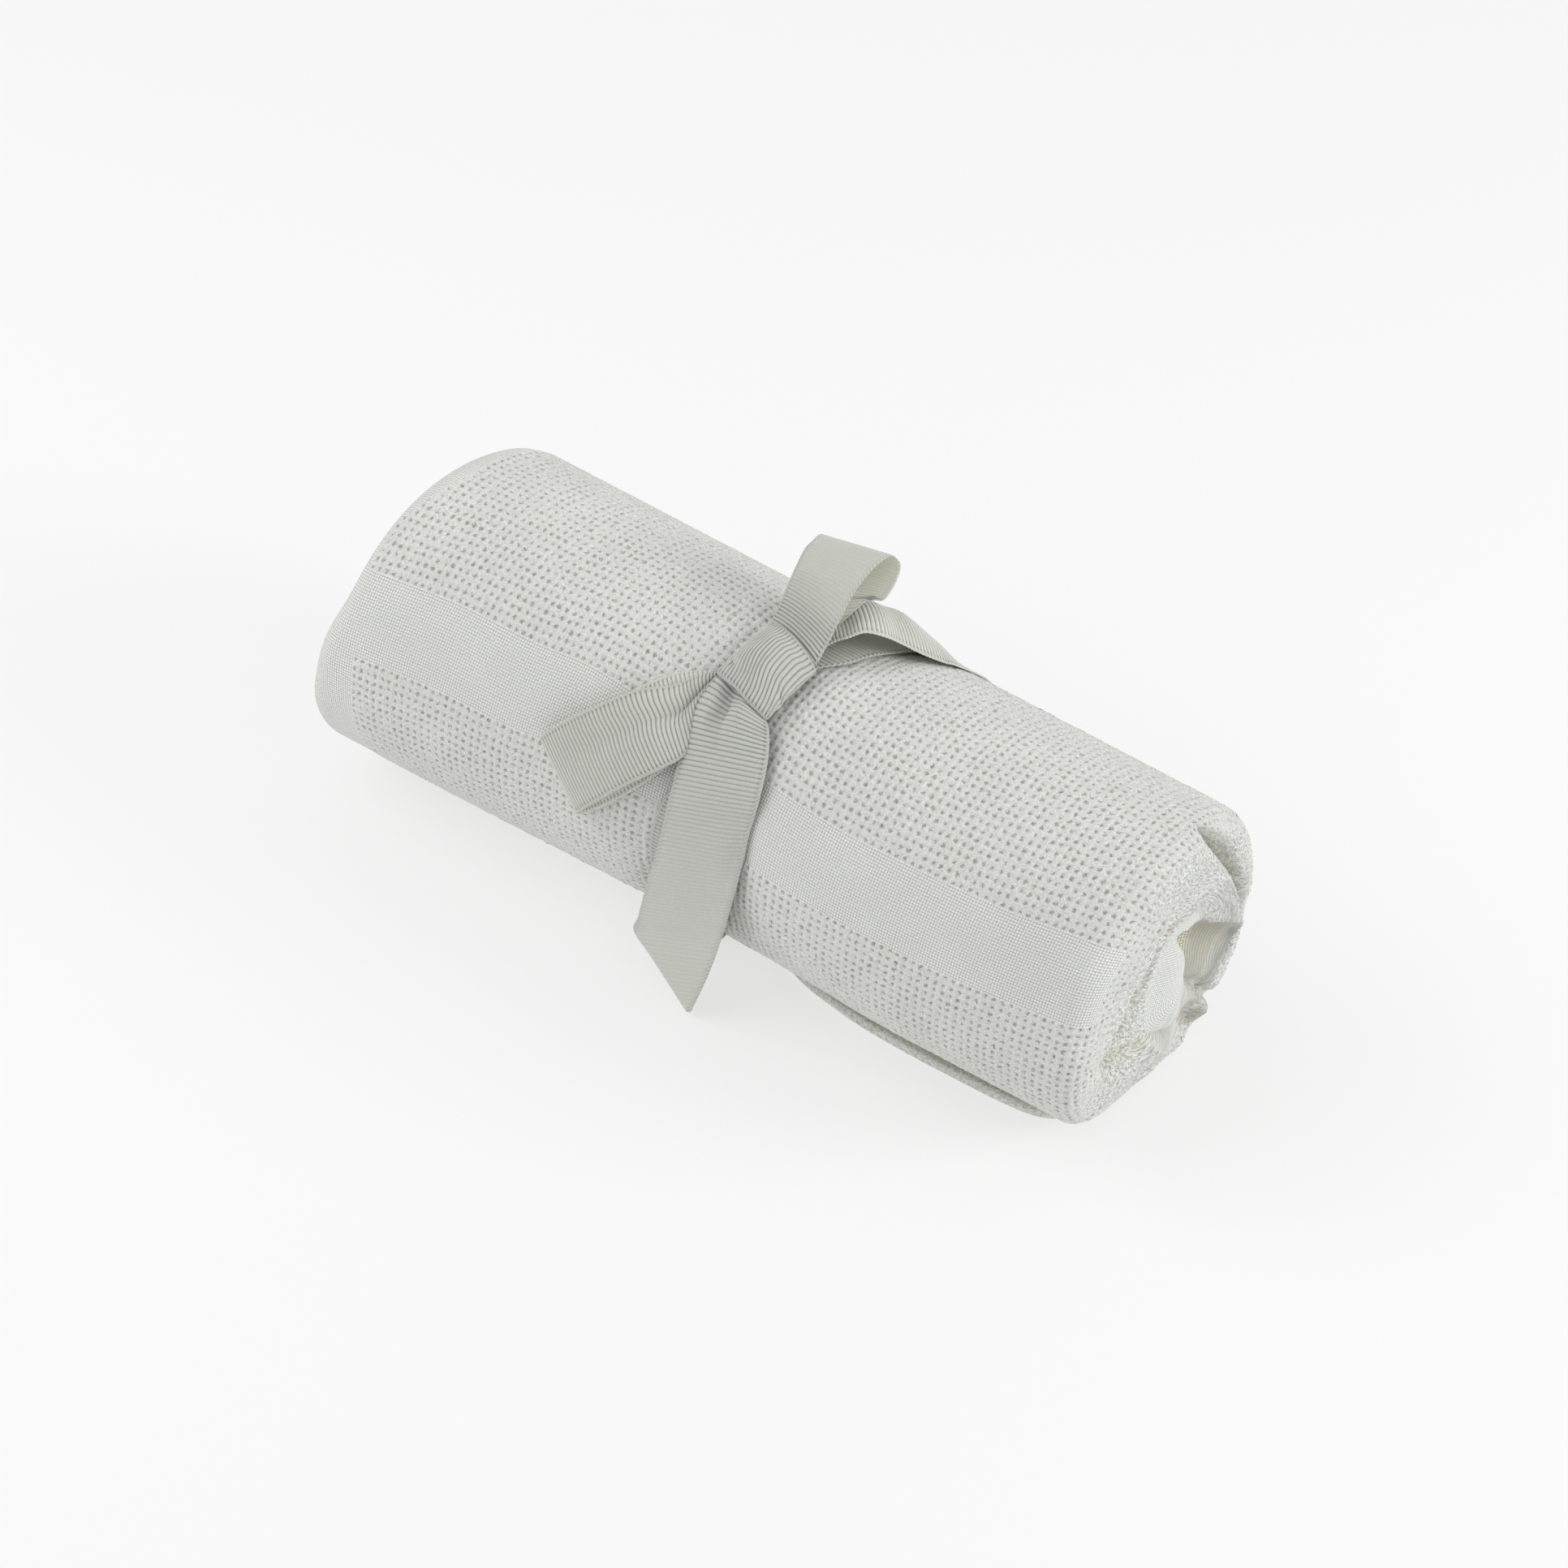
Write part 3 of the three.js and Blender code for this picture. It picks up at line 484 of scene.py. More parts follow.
cloth = {
    "reach": 7,  # how far the patches run in over the rims
    "lines": [-0.5, -0.27, -0.1, 0.1, 0.27],
    "coarse": [-0.5, -0.2, 0, 0.2],
    "patches": [  # name, turns from and to, row spacing
        ("front", (-40, 140), "lines"),
        ("back", (140, 258), "coarse"),
        ("under", (-105, -40), "coarse"),
    ],
    "rough": 0.45,
    "columns": 63,  # of cells from the middle of the roll to past its rim
    "seamStep": 0.2,
    "seamLeast": 0.05,
    "driftFade": 25,  # degrees over which the stripe's drift dies out at the seam
    "fade": (4, 1),  # where a patch sinks under the end piece, and how far
    "sunk": 0.5,
    "plainSunk": 0.12,
    "ribbonSunk": 0.25,
    "ribbonRelief": 0.35,
    "ribbonEdge": (1, 2),
    "fluff": 0.5,
    "fluffBack": (95, 140),  # turns from which the weave is fluffy, at the back and in front
    "fluffFoot": (22, 48),
    "fluffRim": (-9, 1),
    "fluffRelief": 0.8,  # the share of the relief that fluff hides
    "grain": 0.4,
    "above": 0.02,
}
# Three columns of holes stay clear along the right-hand rim.
rimStrip = {"turn": 25, "half": (32, 50), "inner": (6, 9)}


def cellLines(first, last, offsets):  # mesh lines through each cell, one more at each side
    cells = np.arange(first - 1, last + 1)[:, None] + 0.5 + np.array(offsets)
    lines = np.sort(cells.ravel())
    low = np.searchsorted(lines, first) - 1
    high = np.searchsorted(lines, last) + 2
    return lines[low:high]


def offStrip(turns):
    return smooth(np.abs(turns - rimStrip["turn"]), *rimStrip["half"])


def clothPatch(name, turnsRange, side, offsets):
    rounds = [round(np.radians(turn) * roll["radius"] / weave["round"]) for turn in turnsRange]
    rows = cellLines(*rounds, offsets)
    first, final = np.radians(turnTable[[0, -1]]) * roll["radius"] / weave["round"]
    inside = rows[(rows > first + cloth["seamLeast"]) & (rows < final - cloth["seamLeast"])]
    before = [first - cloth["seamStep"], first] if rows[0] < first else []
    after = [final, final + cloth["seamStep"]] if rows[-1] > final else []
    rows = np.concatenate([before, inside, after])[:, None]
    columns = cellLines(0, cloth["columns"], offsets)[None, :] * side
    if side < 0:
        columns = columns[:, ::-1]
    arc = rows * weave["round"] + 0 * columns
    run = columns * weave["across"] + weave["skew"] * (arc - weave["skewFrom"])
    drift = hermite(stripeRows, "along", run, "turn") - stripe["level"]
    low, high = turnTable[0], turnTable[-1]
    flat = np.degrees(arc / roll["radius"])
    share = smooth(flat, low, low + cloth["driftFade"]) * smooth(-flat, -high, -high + cloth["driftFade"])
    axisTurns = np.clip(flat + drift * share, low, high)
    points = stripSurface(axisTurns, run)
    lines = rightLines if side > 0 else leftLines
    past = (run - lines["start"]) * side
    limit = readTurns(lines, "crest", eyeTurnOf(axisTurns)) + cloth["reach"]
    cell = cellShare(axisTurns, run)
    over = past - limit + cloth["reach"]
    if side > 0:
        cell = np.maximum(cell, smooth(over, -2, 0))
    fade = 1 - smooth(past, limit - cloth["fade"][0], limit - cloth["fade"][1])
    held = np.abs(run - hermite(bandRows, "turn", axisTurns, "middle"))
    half = hermite(bandRows, "turn", axisTurns, "width") / 2
    held = smooth(held, half - cloth["ribbonEdge"][0], half + cloth["ribbonEdge"][1])
    relief = cellRelief(columns + 0 * rows, rows + 0 * columns)
    fuzz = np.maximum(smooth(axisTurns, *cloth["fluffBack"]), smooth(-axisTurns, *cloth["fluffFoot"]))
    fuzz = cloth["fluff"] * fuzz
    if side > 0:
        fuzz = np.maximum(fuzz, smooth(over, *cloth["fluffRim"]) * offStrip(axisTurns))
    normals = outwardNormals(points, np.stack([run * 0.9, 0 * run, radiusAt(run)], -1))[0]
    clear = cloth["ribbonRelief"] + (1 - cloth["ribbonRelief"]) * held
    lift = cell * (1 - cloth["fluffRelief"] * fuzz) * relief * clear * fade
    lift = lift - cloth["sunk"] * (1 - fade) - cloth["plainSunk"] * (1 - cell)
    lift = lift - cloth["ribbonSunk"] * (1 - held)
    lift += cloth["rough"] * cell * (cloth["grain"] + (1 - cloth["grain"]) * fuzz) * grain(columns, rows)
    points = points + normals * lift[..., None]
    points[..., 2] = np.maximum(points[..., 2], cloth["above"])
    place = np.stack([columns + 0 * rows, rows + 0 * columns], -1)
    return clothPiece(name, points, place, (side * 60, 0, 50), cell, fuzz, keep=past < limit, inner=1)


# Distances past the rim's crest or past the hollow's edge, as from and to.
endLook = {
    "begin": 2,
    "clear": (2, 5),
    "inside": (-3, 1),
    # The next four set the painted warm shade inside the hollow and along the creases.
    "paintedShade": (-1, 6),
    "paintedShadeStrength": 0.8,
    "creaseFrom": (1, 5),
    "creasePaintedShade": 0.55,
    "patchEdge": 1.5,
    "leftHem": (6, 9),
    "sunk": 0.4,
}


def past(values, line, span):
    return smooth(values, line + span[0], line + span[1])


def endPiece(name, end, lines, middle, rounds, count):
    turns = np.linspace(-90, 270, rounds)[:, None]
    crest = readTurns(lines, "crest", turns)
    edge = readTurns(lines, "edge", turns)
    start = crest - endLook["begin"]
    along = start + (readTurns(lines, "length", turns) - start) * np.linspace(0, 1, count)[None, :]
    points = fromTable(lines, turns + 0 * along, along)
    around = runAlong(points.swapaxes(0, 1)).T
    around = around - around[int(rounds * middle / 360)]
    place = np.stack([(abs(end["start"]) + along) / weave["across"], around / weave["round"]], -1)
    gapped = past(along, crest, endLook["clear"])
    plain = past(along, edge, endLook["inside"])
    # Painted warm shade inside the hollow, past its edge, and along the creases.
    paintedShade = endLook["paintedShadeStrength"] * past(along, edge, endLook["paintedShade"])
    offset = points[..., 1:]
    for item in end["creases"]:
        gap = toPath(item["path"], offset)[0]
        near = np.exp(-((gap / item["wide"]) ** 2)) * past(along, crest, endLook["creaseFrom"])
        paintedShade = np.maximum(paintedShade, near * endLook["creasePaintedShade"])
    for patch in end["plain"]:
        gap = toPath(patch["path"], offset)[0]
        spread = endLook["patchEdge"]
        plain = np.maximum(plain, 1 - smooth(gap, patch["wide"] - spread, patch["wide"] + spread))
    cell = 1 - plain
    if end["side"] < 0:
        cell = cell * gapped * past(along, crest, endLook["leftHem"])
    relief = cellRelief(place[..., 0], place[..., 1])
    centre = np.array((end["side"] * 60, 8, 46))
    normals = outwardNormals(points, centre)[0]
    strip = (1 - offStrip(turns)) * (1 - past(along, crest, rimStrip["inner"])) * (end["side"] > 0)
    fuzz = 1 - strip
    lift = (1 - cloth["fluffRelief"] * fuzz) * cell * relief * gapped - endLook["sunk"] * (1 - gapped)
    lift[:-1] += cloth["rough"] * (cell * gapped * grain(place[..., 0], place[..., 1]))[:-1]
    lift[-1] = lift[0]
    points = points + normals * lift[..., None]
    points[..., 2] = np.maximum(points[..., 2], cloth["above"])
    return clothPiece(name, points, place, centre, cell, fuzz, paintedShade)


# The strip's loose end, folded in layers, lies on the floor and comes out in front.
looseEnd = {
    "left": -131,
    "right": 118.5,
    "back": 14,
    "thick": 2,
    "nose": 1.4,
    "fold": 1.2,  # how much thicker the rounded front is, and from where along the roll
    "foldFrom": (8, 30),
    "foldBack": 6,
    "follow": 0.9,
    "rough": 0.6,
    "fluff": 0.4,
    # where the painted warm shade of the crease comes in, behind the front
    "crease": (1.6, 3.2),
    "rows": table("along front",
        (-134, 10), (-60, 13), (-5, 16.5), (8, 19), (22, 27.6), (42, 31.8), (58, 33), (80, 33),
        (100, 32.4), (110, 30.6), (118.5, 25.5)),
}


def loosePiece(name):
    share = np.linspace(0, 1, 240)
    along = looseEnd["left"] + (looseEnd["right"] - looseEnd["left"]) * share[:, None]
    ends = np.sqrt(np.clip(1 - np.abs(2 * share - 1) ** 60, 0, 1))[:, None]
    front = hermite(looseEnd["rows"], "along", along, "front")
    foot = pinchAt(along, -90 + 0 * along) * looseEnd["follow"]
    thick = looseEnd["thick"] * ends
    high = thick + looseEnd["fold"] * smooth(along, *looseEnd["foldFrom"]) * ends
    under = np.linspace(0, 1, 26)[None, :]
    arc = np.linspace(-np.pi / 2, np.pi / 2, 13)[None, :]
    nose = looseEnd["nose"]
    bottomY = looseEnd["back"] - (looseEnd["back"] + front - nose) * under
    noseY = -(front - nose) - nose * np.cos(arc)
    topY = bottomY[:, ::-1]
    behind = smooth(topY + front, nose, looseEnd["foldBack"])
    y = np.concatenate([bottomY, noseY, topY], 1)
    z = np.concatenate([0 * bottomY, high * (0.5 + 0.5 * np.sin(arc)), high + (thick - high) * behind], 1)
    points = np.stack([along + 0 * y, y, foot + z + cloth["above"]], -1)
    run = runAlong(points)
    place = np.stack([(along + 0 * run) / weave["across"], run / weave["round"]], -1)
    rough = cloth["rough"] * looseEnd["rough"] * grain(place[..., 0], place[..., 1])
    points += rough[..., None] * np.array([0, -0.7, 0.7])
    points[..., 2] = np.maximum(points[..., 2], cloth["above"])
    # Painted warm shade in the crease under the roll's overhang, faint over the rest of the loose end.
    paintedShade = 0.1 + 0.9 * smooth(points[..., 1] + front, *looseEnd["crease"])
    fuzz = looseEnd["fluff"] + 0 * run
    return clothPiece(name, points, place, (0, 0, 2.4), 1 + 0 * run, fuzz, paintedShade)


# Ribbon pieces: crossings from one selvage (a) to the other (b), with the crown in between.
ribbon = {
    "thick": 0.7,
    "rib": {"ribbon_front_tail": 1.44, "ribbon_left_loop": 1.38, "ribbon_upper_loop": 1.15,
            "ribbon_back_tail": 1.25, "ribbon_knot": 1.42, "ribbon_band": 1.38},
    "relief": 0.34,
    "lit": {  # how much painted light, standing in for light that comes through, each piece gets at its outer and its inner face
        "ribbon_front_tail": (0, 0.8),
        "ribbon_left_loop": (0.1, 0.6),
        "ribbon_upper_loop": (0.6, 0),
        "ribbon_back_tail": (0.4, 0.8),
        "ribbon_knot": (0, 0),
        "ribbon_band": (0.3, 0),
    },
    "fade": {  # how strong the ribs are, in relief and in their painted shade, at each share of the tape's length
        "ribbon_front_tail": [(0, 1), (0.14, 0.9), (0.32, 0.5), (0.55, 0.22), (1, 0.22)],
        "ribbon_left_loop": [(0, 1), (1, 0.8)],
        "ribbon_upper_loop": [(0, 1), (0.1, 1), (0.2, 0.35), (0.3, 0.1), (0.5, 0.15), (0.7, 0.4), (1, 0.5)],
        "ribbon_back_tail": [(0, 1), (0.5, 0.9), (1, 0.7)],
        "ribbon_knot": [(0, 1), (1, 1)],
        "ribbon_band": [(0, 0.8), (1, 0.8)],
    },
    "dentAt": 0.38,
    "dentWide": 0.13,
    "selvage": 1.3,
    "gap": 0.55,
    "rise": 0.6,
    "across": [0, 0.012, 0.035, 0.055, 0.12, 0.2, 0.3, 0.4, 0.5, 0.6, 0.7, 0.8, 0.88, 0.945, 0.965, 0.988, 1],
}
ribbonLook = {
    "yarn": (0.54, 0.548, 0.51, 1),
    "light": (0.88, 0.88, 0.79, 1),  # painted light where light would come through from behind
    "roughness": 0.4,
    "sheen": 0.1,
    "bump": 0.0003,
    "width": 26.0,
    "through": 0.6,
    "reach": 0.0012,
}
frontTail = table("ax ay az bx by bz crown dent cut",
    (-9.5, -17.4, 99.4, 6.4, -21.8, 97, 0.4, 1, 0),
    (-11.1, -19.3, 99.2, 8.8, -23.8, 96.5, 2.6, 3.6, 0),
    (-11.3, -25.4, 97.3, 11.6, -25.9, 96.5, 4.4, 6.2, 0),
    (-11.4, -29.8, 95.1, 13.1, -27.6, 95.6, 4.4, 5.4, 0),
    (-10.7, -33.5, 92.6, 14.5, -29.5, 94.5, 3.2, 2.8, 0),
    (-9.5, -37.5, 89.3, 16.2, -32.4, 92.5, 1.5, 0.9, 0),
    (-8.5, -41, 85.6, 17.5, -35.5, 89.3, 1, 0.1, 0), (-7.7, -44.3, 81.2, 18.5, -38.9, 85.6, 0.9, 0, 0),
    (-7.7, -47, 75.5, 18.7, -41.4, 80.6, 0.8, 0, 0), (-8.1, -48.9, 68.6, 18.4, -43.6, 74.3, 0.8, 0, 0),
    (-8.4, -50.9, 61.8, 18.4, -46, 68.5, 0.7, 0, 0), (-9.6, -52.4, 53.3, 18.5, -48.8, 62.4, 0.6, 0, 0),
    (-11.6, -53, 44.1, 18.2, -51, 55.8, 0.5, 0, 0), (-13.9, -53.2, 34.3, 17, -52.2, 47.9, 0.4, 0, 0),
    (-16.1, -52.9, 25.2, 16.1, -53.4, 41.2, 0.3, 0, 0),
    (-18.4, -52.3, 17, 14.8, -54.1, 34.9, 0.2, 0, 0), (-11.2, -54, 12.1, 12.6, -55.1, 25, 0.1, 0, 0.3),
    (-4.1, -55.6, 7.2, 10, -56.2, 15, 0.1, 0, 0.6), (1.9, -57, 3.1, 7.2, -57.1, 5.9, 0, 0, 0.85),
    (4.5, -57.6, 1.3, 6, -57.6, 2, 0, 0, 0.96))
leftLoop = table("ax ay az bx by bz crown dent",
    (-10.6, -17.6, 99.4, -8, -19.8, 98.4, 0.1, 0.6), (-12, -19.3, 99.9, -10.4, -25.1, 96, 1, 1.6),
    (-15.1, -24.6, 99.7, -8.1, -32.6, 91.8, 2, 3), (-18.8, -30.1, 99.1, -6.6, -40.4, 87.1, 2.2, 3.2),
    (-27.6, -36.2, 96.8, -10.6, -46, 83.6, 2, 2.4), (-37, -43.2, 90.5, -19.5, -51.2, 76, 1, 1.2),
    (-45.8, -47.7, 82.8, -29.1, -54.1, 65.6, 0.6, 0.4), (-51, -49.2, 77, -34.3, -54.3, 59.2, 0.3, 0),
    (-52.7, -48.8, 74.3, -36.5, -53.3, 55.9, 0, 0), (-51.2, -47, 75.1, -34.8, -52.1, 56.1, 0, 0),
    (-43.5, -42.6, 81.8, -27, -50.4, 63.4, 0, 0), (-35.5, -36.5, 88.6, -18.1, -46.8, 72.9, 0, 0),
    (-27.5, -29, 94.7, -11, -41.1, 81.9, 0, 0), (-21.6, -24.2, 97.7, -8.9, -34.4, 89.1, 0, 0),
    (-16.7, -21, 98.9, -10, -27.6, 94.2, 0, 0), (-12, -18.4, 99.2, -9.6, -20.9, 97.8, 0, 0))
upperLoop = table("ax ay az bx by bz crown",
    (-5.6, 3, 102.5, 9.8, -3.5, 101.9, 0.6), (-8.6, 3.8, 103.4, 11.6, -3.5, 102.6, 2.2),
    (-7.9, 6.6, 108.5, 11.8, 1.9, 106.5, 1.6), (-7.3, 10.1, 114.6, 12.2, 7.4, 112.3, 1.2),
    (-7.3, 13.8, 118.4, 12, 14.7, 117.2, 1), (-8.1, 18.9, 120.4, 12.2, 22.8, 119.8, 0.8),
    (-8.6, 22.9, 120, 12.8, 29.2, 120.2, 0.5), (-9.9, 28.3, 118, 13.2, 32.7, 118.6, 0.2),
    (-11.3, 32.1, 114, 15, 33.6, 115.4, 0), (-10.2, 30, 110.6, 15.8, 30.6, 112.4, 0),
    (-7.2, 19.3, 108.6, 16.1, 26, 110.4, 0), (-5.8, 14.2, 107.8, 15.4, 23.9, 109.4, 0),
    (-4.4, 9.2, 107, 11.6, 21.8, 109, 0), (-6, 5.1, 101.9, 7.3, -0.8, 101.7, 0))
backTail = table("ax ay az bx by bz crown",
    (9.5, -5.5, 101.4, 1.8, 0.6, 102, 0.2), (9.4, 1.8, 103, 1, 9.7, 102.2, 0.6),
    (11.8, 5.5, 105.1, -2.5, 19, 101.5, 1.5), (14.9, 7.7, 106.7, -1.9, 23.6, 96, 2.4),
    (18.4, 11.1, 108.1, 1, 27.3, 98.9, 3), (22.7, 14.3, 106.5, 4.3, 30.5, 98.7, 3.2),
    (25.4, 19.1, 101.6, 7.4, 34.6, 95.1, 2.4), (30.2, 22.6, 97.6, 11.5, 38.5, 92.1, 2),
    (35, 26.5, 94.1, 16.9, 41.7, 85.9, 1.2), (37.3, 30.3, 91.1, 22.7, 45.7, 76.9, 0.6),
    (40.5, 41.8, 79, 28, 50.6, 58.6, 0.2), (42, 47.6, 68.8, 31, 51.2, 45.2, 0.1))
knotRows = table("ax ay az bx by bz crown",
    (-11.4, -19.4, 98.4, -8.4, 3.8, 101.9, 0.2), (-10.7, -19.9, 100.1, -7.3, 2.9, 103.8, 1.4),
    (-6.9, -21.5, 101, -5.1, 2, 105.3, 2.6), (-2.2, -23, 101.5, -1.1, 0.5, 106.6, 3.2),
    (2.4, -24.6, 101, 3.3, -1.2, 107, 3.4), (6.6, -25.3, 99.6, 7.5, -3, 106.4, 3.2),
    (9.2, -25.2, 98.2, 10.9, -4.3, 105, 2.6), (9.5, -24.4, 96.8, 12.7, -4.7, 102.9, 1.4),
    (8.2, -23.1, 95.8, 11.6, -3.7, 101.1, 0.2))
bandSeat = table("turn out",
    (-76, 0), (-63, 0.6), (-54, 1), (-45, 0.4), (-26, 0))


def ribSteps(name, length):  # places along a tape at four to a rib, starting in a valley
    ribs = round(length / ribbon["rib"][name])
    return np.linspace(0, length, ribs * 4 + 1), ribs


def readRows(rows, at):
    index = [{"index": i, **row} for i, row in enumerate(rows)]
    return {name: hermite(index, "index", at, name) for name in rows[0]}


def evenly(name, rows, columns):  # rows of a tape's surface at even steps along its middle
    fine = np.linspace(0, len(rows) - 1, 600)
    middle = tapeCrossing(readRows(rows, fine), np.array([0.5]))[:, 0]
    run = runAlong(middle)
    places, ribs = ribSteps(name, run[-1])
    values = readRows(rows, np.interp(places, run, fine))
    return tapeCrossing(values, columns), ribs, run[-1], values.get("cut")


# How the free pieces lie on the roll: over the band first, then down on the drawn-in cloth.
lying = {
    "clear": 1.05,
    "follow": 0.9,
    "beside": (0.5, 4),
    "top": (60, 75),
    "closer": 0.7,
    "closerFrom": (24, 30),
}


def keptOff(points):
    axis = radiusAt(points[..., 0])
    away = np.stack([0 * axis, points[..., 1], points[..., 2] - axis], -1)
    reach = np.linalg.norm(away, axis=-1)
    turn = np.degrees(np.arctan2(away[..., 2], -away[..., 1]))
    beside = np.abs(points[..., 0] - hermite(bandRows, "turn", turn, "middle"))
    beside = smooth(beside - hermite(bandRows, "turn", turn, "width") / 2, *lying["beside"])
    drawn = lying["follow"] * pinchAt(points[..., 0], turn) * beside * (1 - smooth(turn, *lying["top"]))
    drawn = drawn + lying["closer"] * smooth(points[..., 0], *lying["closerFrom"])
    lack = axis + roll["swell"] + lying["clear"] - drawn - reach
    lack = np.where((lack > 0) & (points[..., 2] > axis / 2), lack, 0)
    return points + away / reach[..., None] * lack[..., None]


def tapeCrossing(values, columns):
    a = np.stack([values["ax"], values["ay"], values["az"]], -1)[:, None]
    b = np.stack([values["bx"], values["by"], values["bz"]], -1)[:, None]
    away = (a + b)[:, 0] / 2 * np.array([0, 1, 1]) - np.array([0, 0, roll["radius"]])
    away = (away / np.linalg.norm(away, axis=-1, keepdims=True))[:, None]
    t = columns[None, :, None]
    crown = values["crown"][:, None, None] * 4 * t * (1 - t)
    if "dent" in values:
        dent = np.exp(-(((t - ribbon["dentAt"]) / ribbon["dentWide"]) ** 2))
        crown = crown - values["dent"][:, None, None] * dent
    return keptOff(a + (b - a) * t + away * crown)


def ribProfile(count):  # rounded ribs with narrow valleys
    return np.abs(np.sin(np.linspace(0, count * np.pi, count * 4 + 1))) ** 0.7


def tapePiece(name, grid, columns, ribs, closed=False, cut=None):
    width = ribbonLook["width"]
    edge = np.minimum(columns, 1 - columns) * width
    onRibs = smooth(edge, ribbon["selvage"] * 0.55, ribbon["selvage"])
    rows = np.linspace(0, ribs, ribs * 4 + 1)
    strong = np.interp(rows / ribs, *zip(*ribbon["fade"][name]))
    lump = ribProfile(ribs)[:, None] * (0.35 + 0.65 * onRibs)[None, :] * strong[:, None]
    half = ribbon["thick"] / 2 * np.where(edge < 0.2, 0.55, 1)[None, :]
    lift = normalsOf(grid) * (half + ribbon["relief"] * (lump - 0.5))[..., None]
    top, under = grid + lift, grid - lift
    ring = np.concatenate([top, under[:, ::-1], top[:, :1]], 1)
    middle = np.concatenate([grid, grid[:, ::-1], grid[:, :1]], 1)
    missing = np.zeros(len(rows)) if cut is None else cut
    if not closed:
        ring = np.concatenate([middle[:1], ring, middle[-1:]], 0)
        middle = np.concatenate([middle[:1], middle, middle[-1:]], 0)
        longer = [np.concatenate([line[:1], line, line[-1:]]) for line in (rows, missing, strong)]
        rows, missing, strong = longer
    over = np.concatenate([columns, columns[::-1], columns[:1]])[None, :]
    over = missing[:, None] + (1 - missing[:, None]) * over
    place = np.stack([rows[:, None] + 0 * over, over * width], -1)
    sides = np.cross(np.gradient(ring, axis=0), np.gradient(ring, axis=1))
    outward = np.sum(sides * (ring - middle)) > 0
    outer, inner = ribbon["lit"][name]
    lit = np.repeat([outer, inner, outer], [len(columns), len(columns), 1])
    marks = {"strong": strong[:, None] + 0 * over, "lit": lit + 0 * rows[:, None]}
    return ribbonPiece(name, ring, place, marks, outward)


def ribbonPiece(name, points, place, marks, outward):
    high, wide = points.shape[:2]
    faces = quads(np.arange(high * wide).reshape(high, wide))
    if outward:
        faces = faces[:, ::-1]
    piece = newPiece(name, points.reshape(-1, 3), faces, place.reshape(-1, 2), marks)
    bpy.ops.object.select_all(action="DESELECT")
    piece.select_set(True)
    bpy.context.view_layer.objects.active = piece
    bpy.ops.object.mode_set(mode="EDIT")
    bpy.ops.mesh.select_all(action="SELECT")
    bpy.ops.mesh.remove_doubles(threshold=0.00002)
    bpy.ops.object.mode_set(mode="OBJECT")
    return piece


underBand = {"from": -91, "to": -57, "flat": -60}


def bandGrid(columns):
    fine = np.linspace(-90, 270, 721)
    length = 2 * np.pi * roll["radius"]
    places, ribs = ribSteps("ribbon_band", length)
    turns = np.interp(places, np.linspace(0, length, 721), fine)[:, None]
    width = hermite(bandRows, "turn", turns, "width")
    middle = hermite(bandRows, "turn", turns, "middle")
    along = middle + (2 * columns[None, :] - 1) * width / 2
    axis = radiusAt(along)
    under = (turns > underBand["from"]) & (turns < underBand["to"])
    drawn = pinchAt(along, np.where(under, -90, turns) + 0 * along)
    lift = ribbon["gap"] + ribbon["rise"]
    reach = axis + roll["swell"] - drawn + lift
    down = np.maximum(np.sin(np.radians(-turns)), 1e-3)
    flat = (axis - drawn + lift) / down  # where the underside of the roll is flat
    reach = np.where(np.sin(np.radians(-turns)) > 0.5, np.minimum(reach, flat), reach)
    seat = hermite(bandSeat, "turn", turns, "out") * ((turns > -76) & (turns < -26))
    reach = np.where(turns < underBand["flat"], flat, reach + seat)
    angle = np.radians(turns)
    return np.stack([along, -reach * np.cos(angle), axis + reach * np.sin(angle)], -1), ribs, length


# The knot's ribs run in waves, with small creases. u is along the strap and t across it.
knotWave = {"shift": 2.5, "over": (0.12, 0.52), "less": 0.35, "back": (0.75, 0.9)}
knotCreases = [
    {"depth": 1.1, "wide": 0.045, "path": [(0.02, 0.2), (0.1, 0.25), (0.18, 0.22), (0.26, 0.27)]},
    {"depth": 0.9, "wide": 0.04, "path": [(0.99, 0.26), (0.9, 0.29), (0.82, 0.35), (0.76, 0.45)]},
    {"depth": 0.45, "wide": 0.07, "path": [(0.3, 0.12), (0.42, 0.3), (0.46, 0.5), (0.6, 0.7)]},
    {"depth": 0.4, "wide": 0.07, "path": [(0.55, 0.1), (0.66, 0.28), (0.68, 0.5), (0.8, 0.75)]},
    {"depth": 0.35, "wide": 0.06, "path": [(0.12, 0.42), (0.2, 0.6), (0.3, 0.8)]},
]


def knotGrid(rows, columns):
    fine = np.linspace(0, len(rows) - 1, 600)
    sheet = tapeCrossing(readRows(rows, fine), columns)
    middle = sheet[:, len(columns) // 2]
    run = runAlong(middle)
    places, ribs = ribSteps("ribbon_knot", run[-1])
    back = 1 - knotWave["less"] * smooth(columns, *knotWave["back"])
    bend = smooth(columns, *knotWave["over"]) * back
    free = np.sin(np.pi * places / run[-1]) ** 0.6
    shifted = places[:, None] - knotWave["shift"] * free[:, None] * bend[None, :]
    grid = np.empty((len(places), len(columns), 3))
    for j in range(len(columns)):
        for k in range(3):
            grid[:, j, k] = np.interp(shifted[:, j], run, sheet[:, j, k])
    at = np.stack([shifted / run[-1], columns[None, :] + 0 * shifted], -1)
    sunk = np.zeros(at.shape[:2])
    for crease in knotCreases:
        gap, share = toPath(crease["path"], at)
        sunk += crease["depth"] * np.exp(-((gap / crease["wide"]) ** 2)) * smooth(1 - share, 0, 0.4)
    axis = radiusAt(grid[..., 0])
    away = np.stack([0 * axis, grid[..., 1], grid[..., 2] - axis], -1)
    away /= np.linalg.norm(away, axis=-1, keepdims=True)
    return grid - away * sunk[..., None], ribs, run[-1]


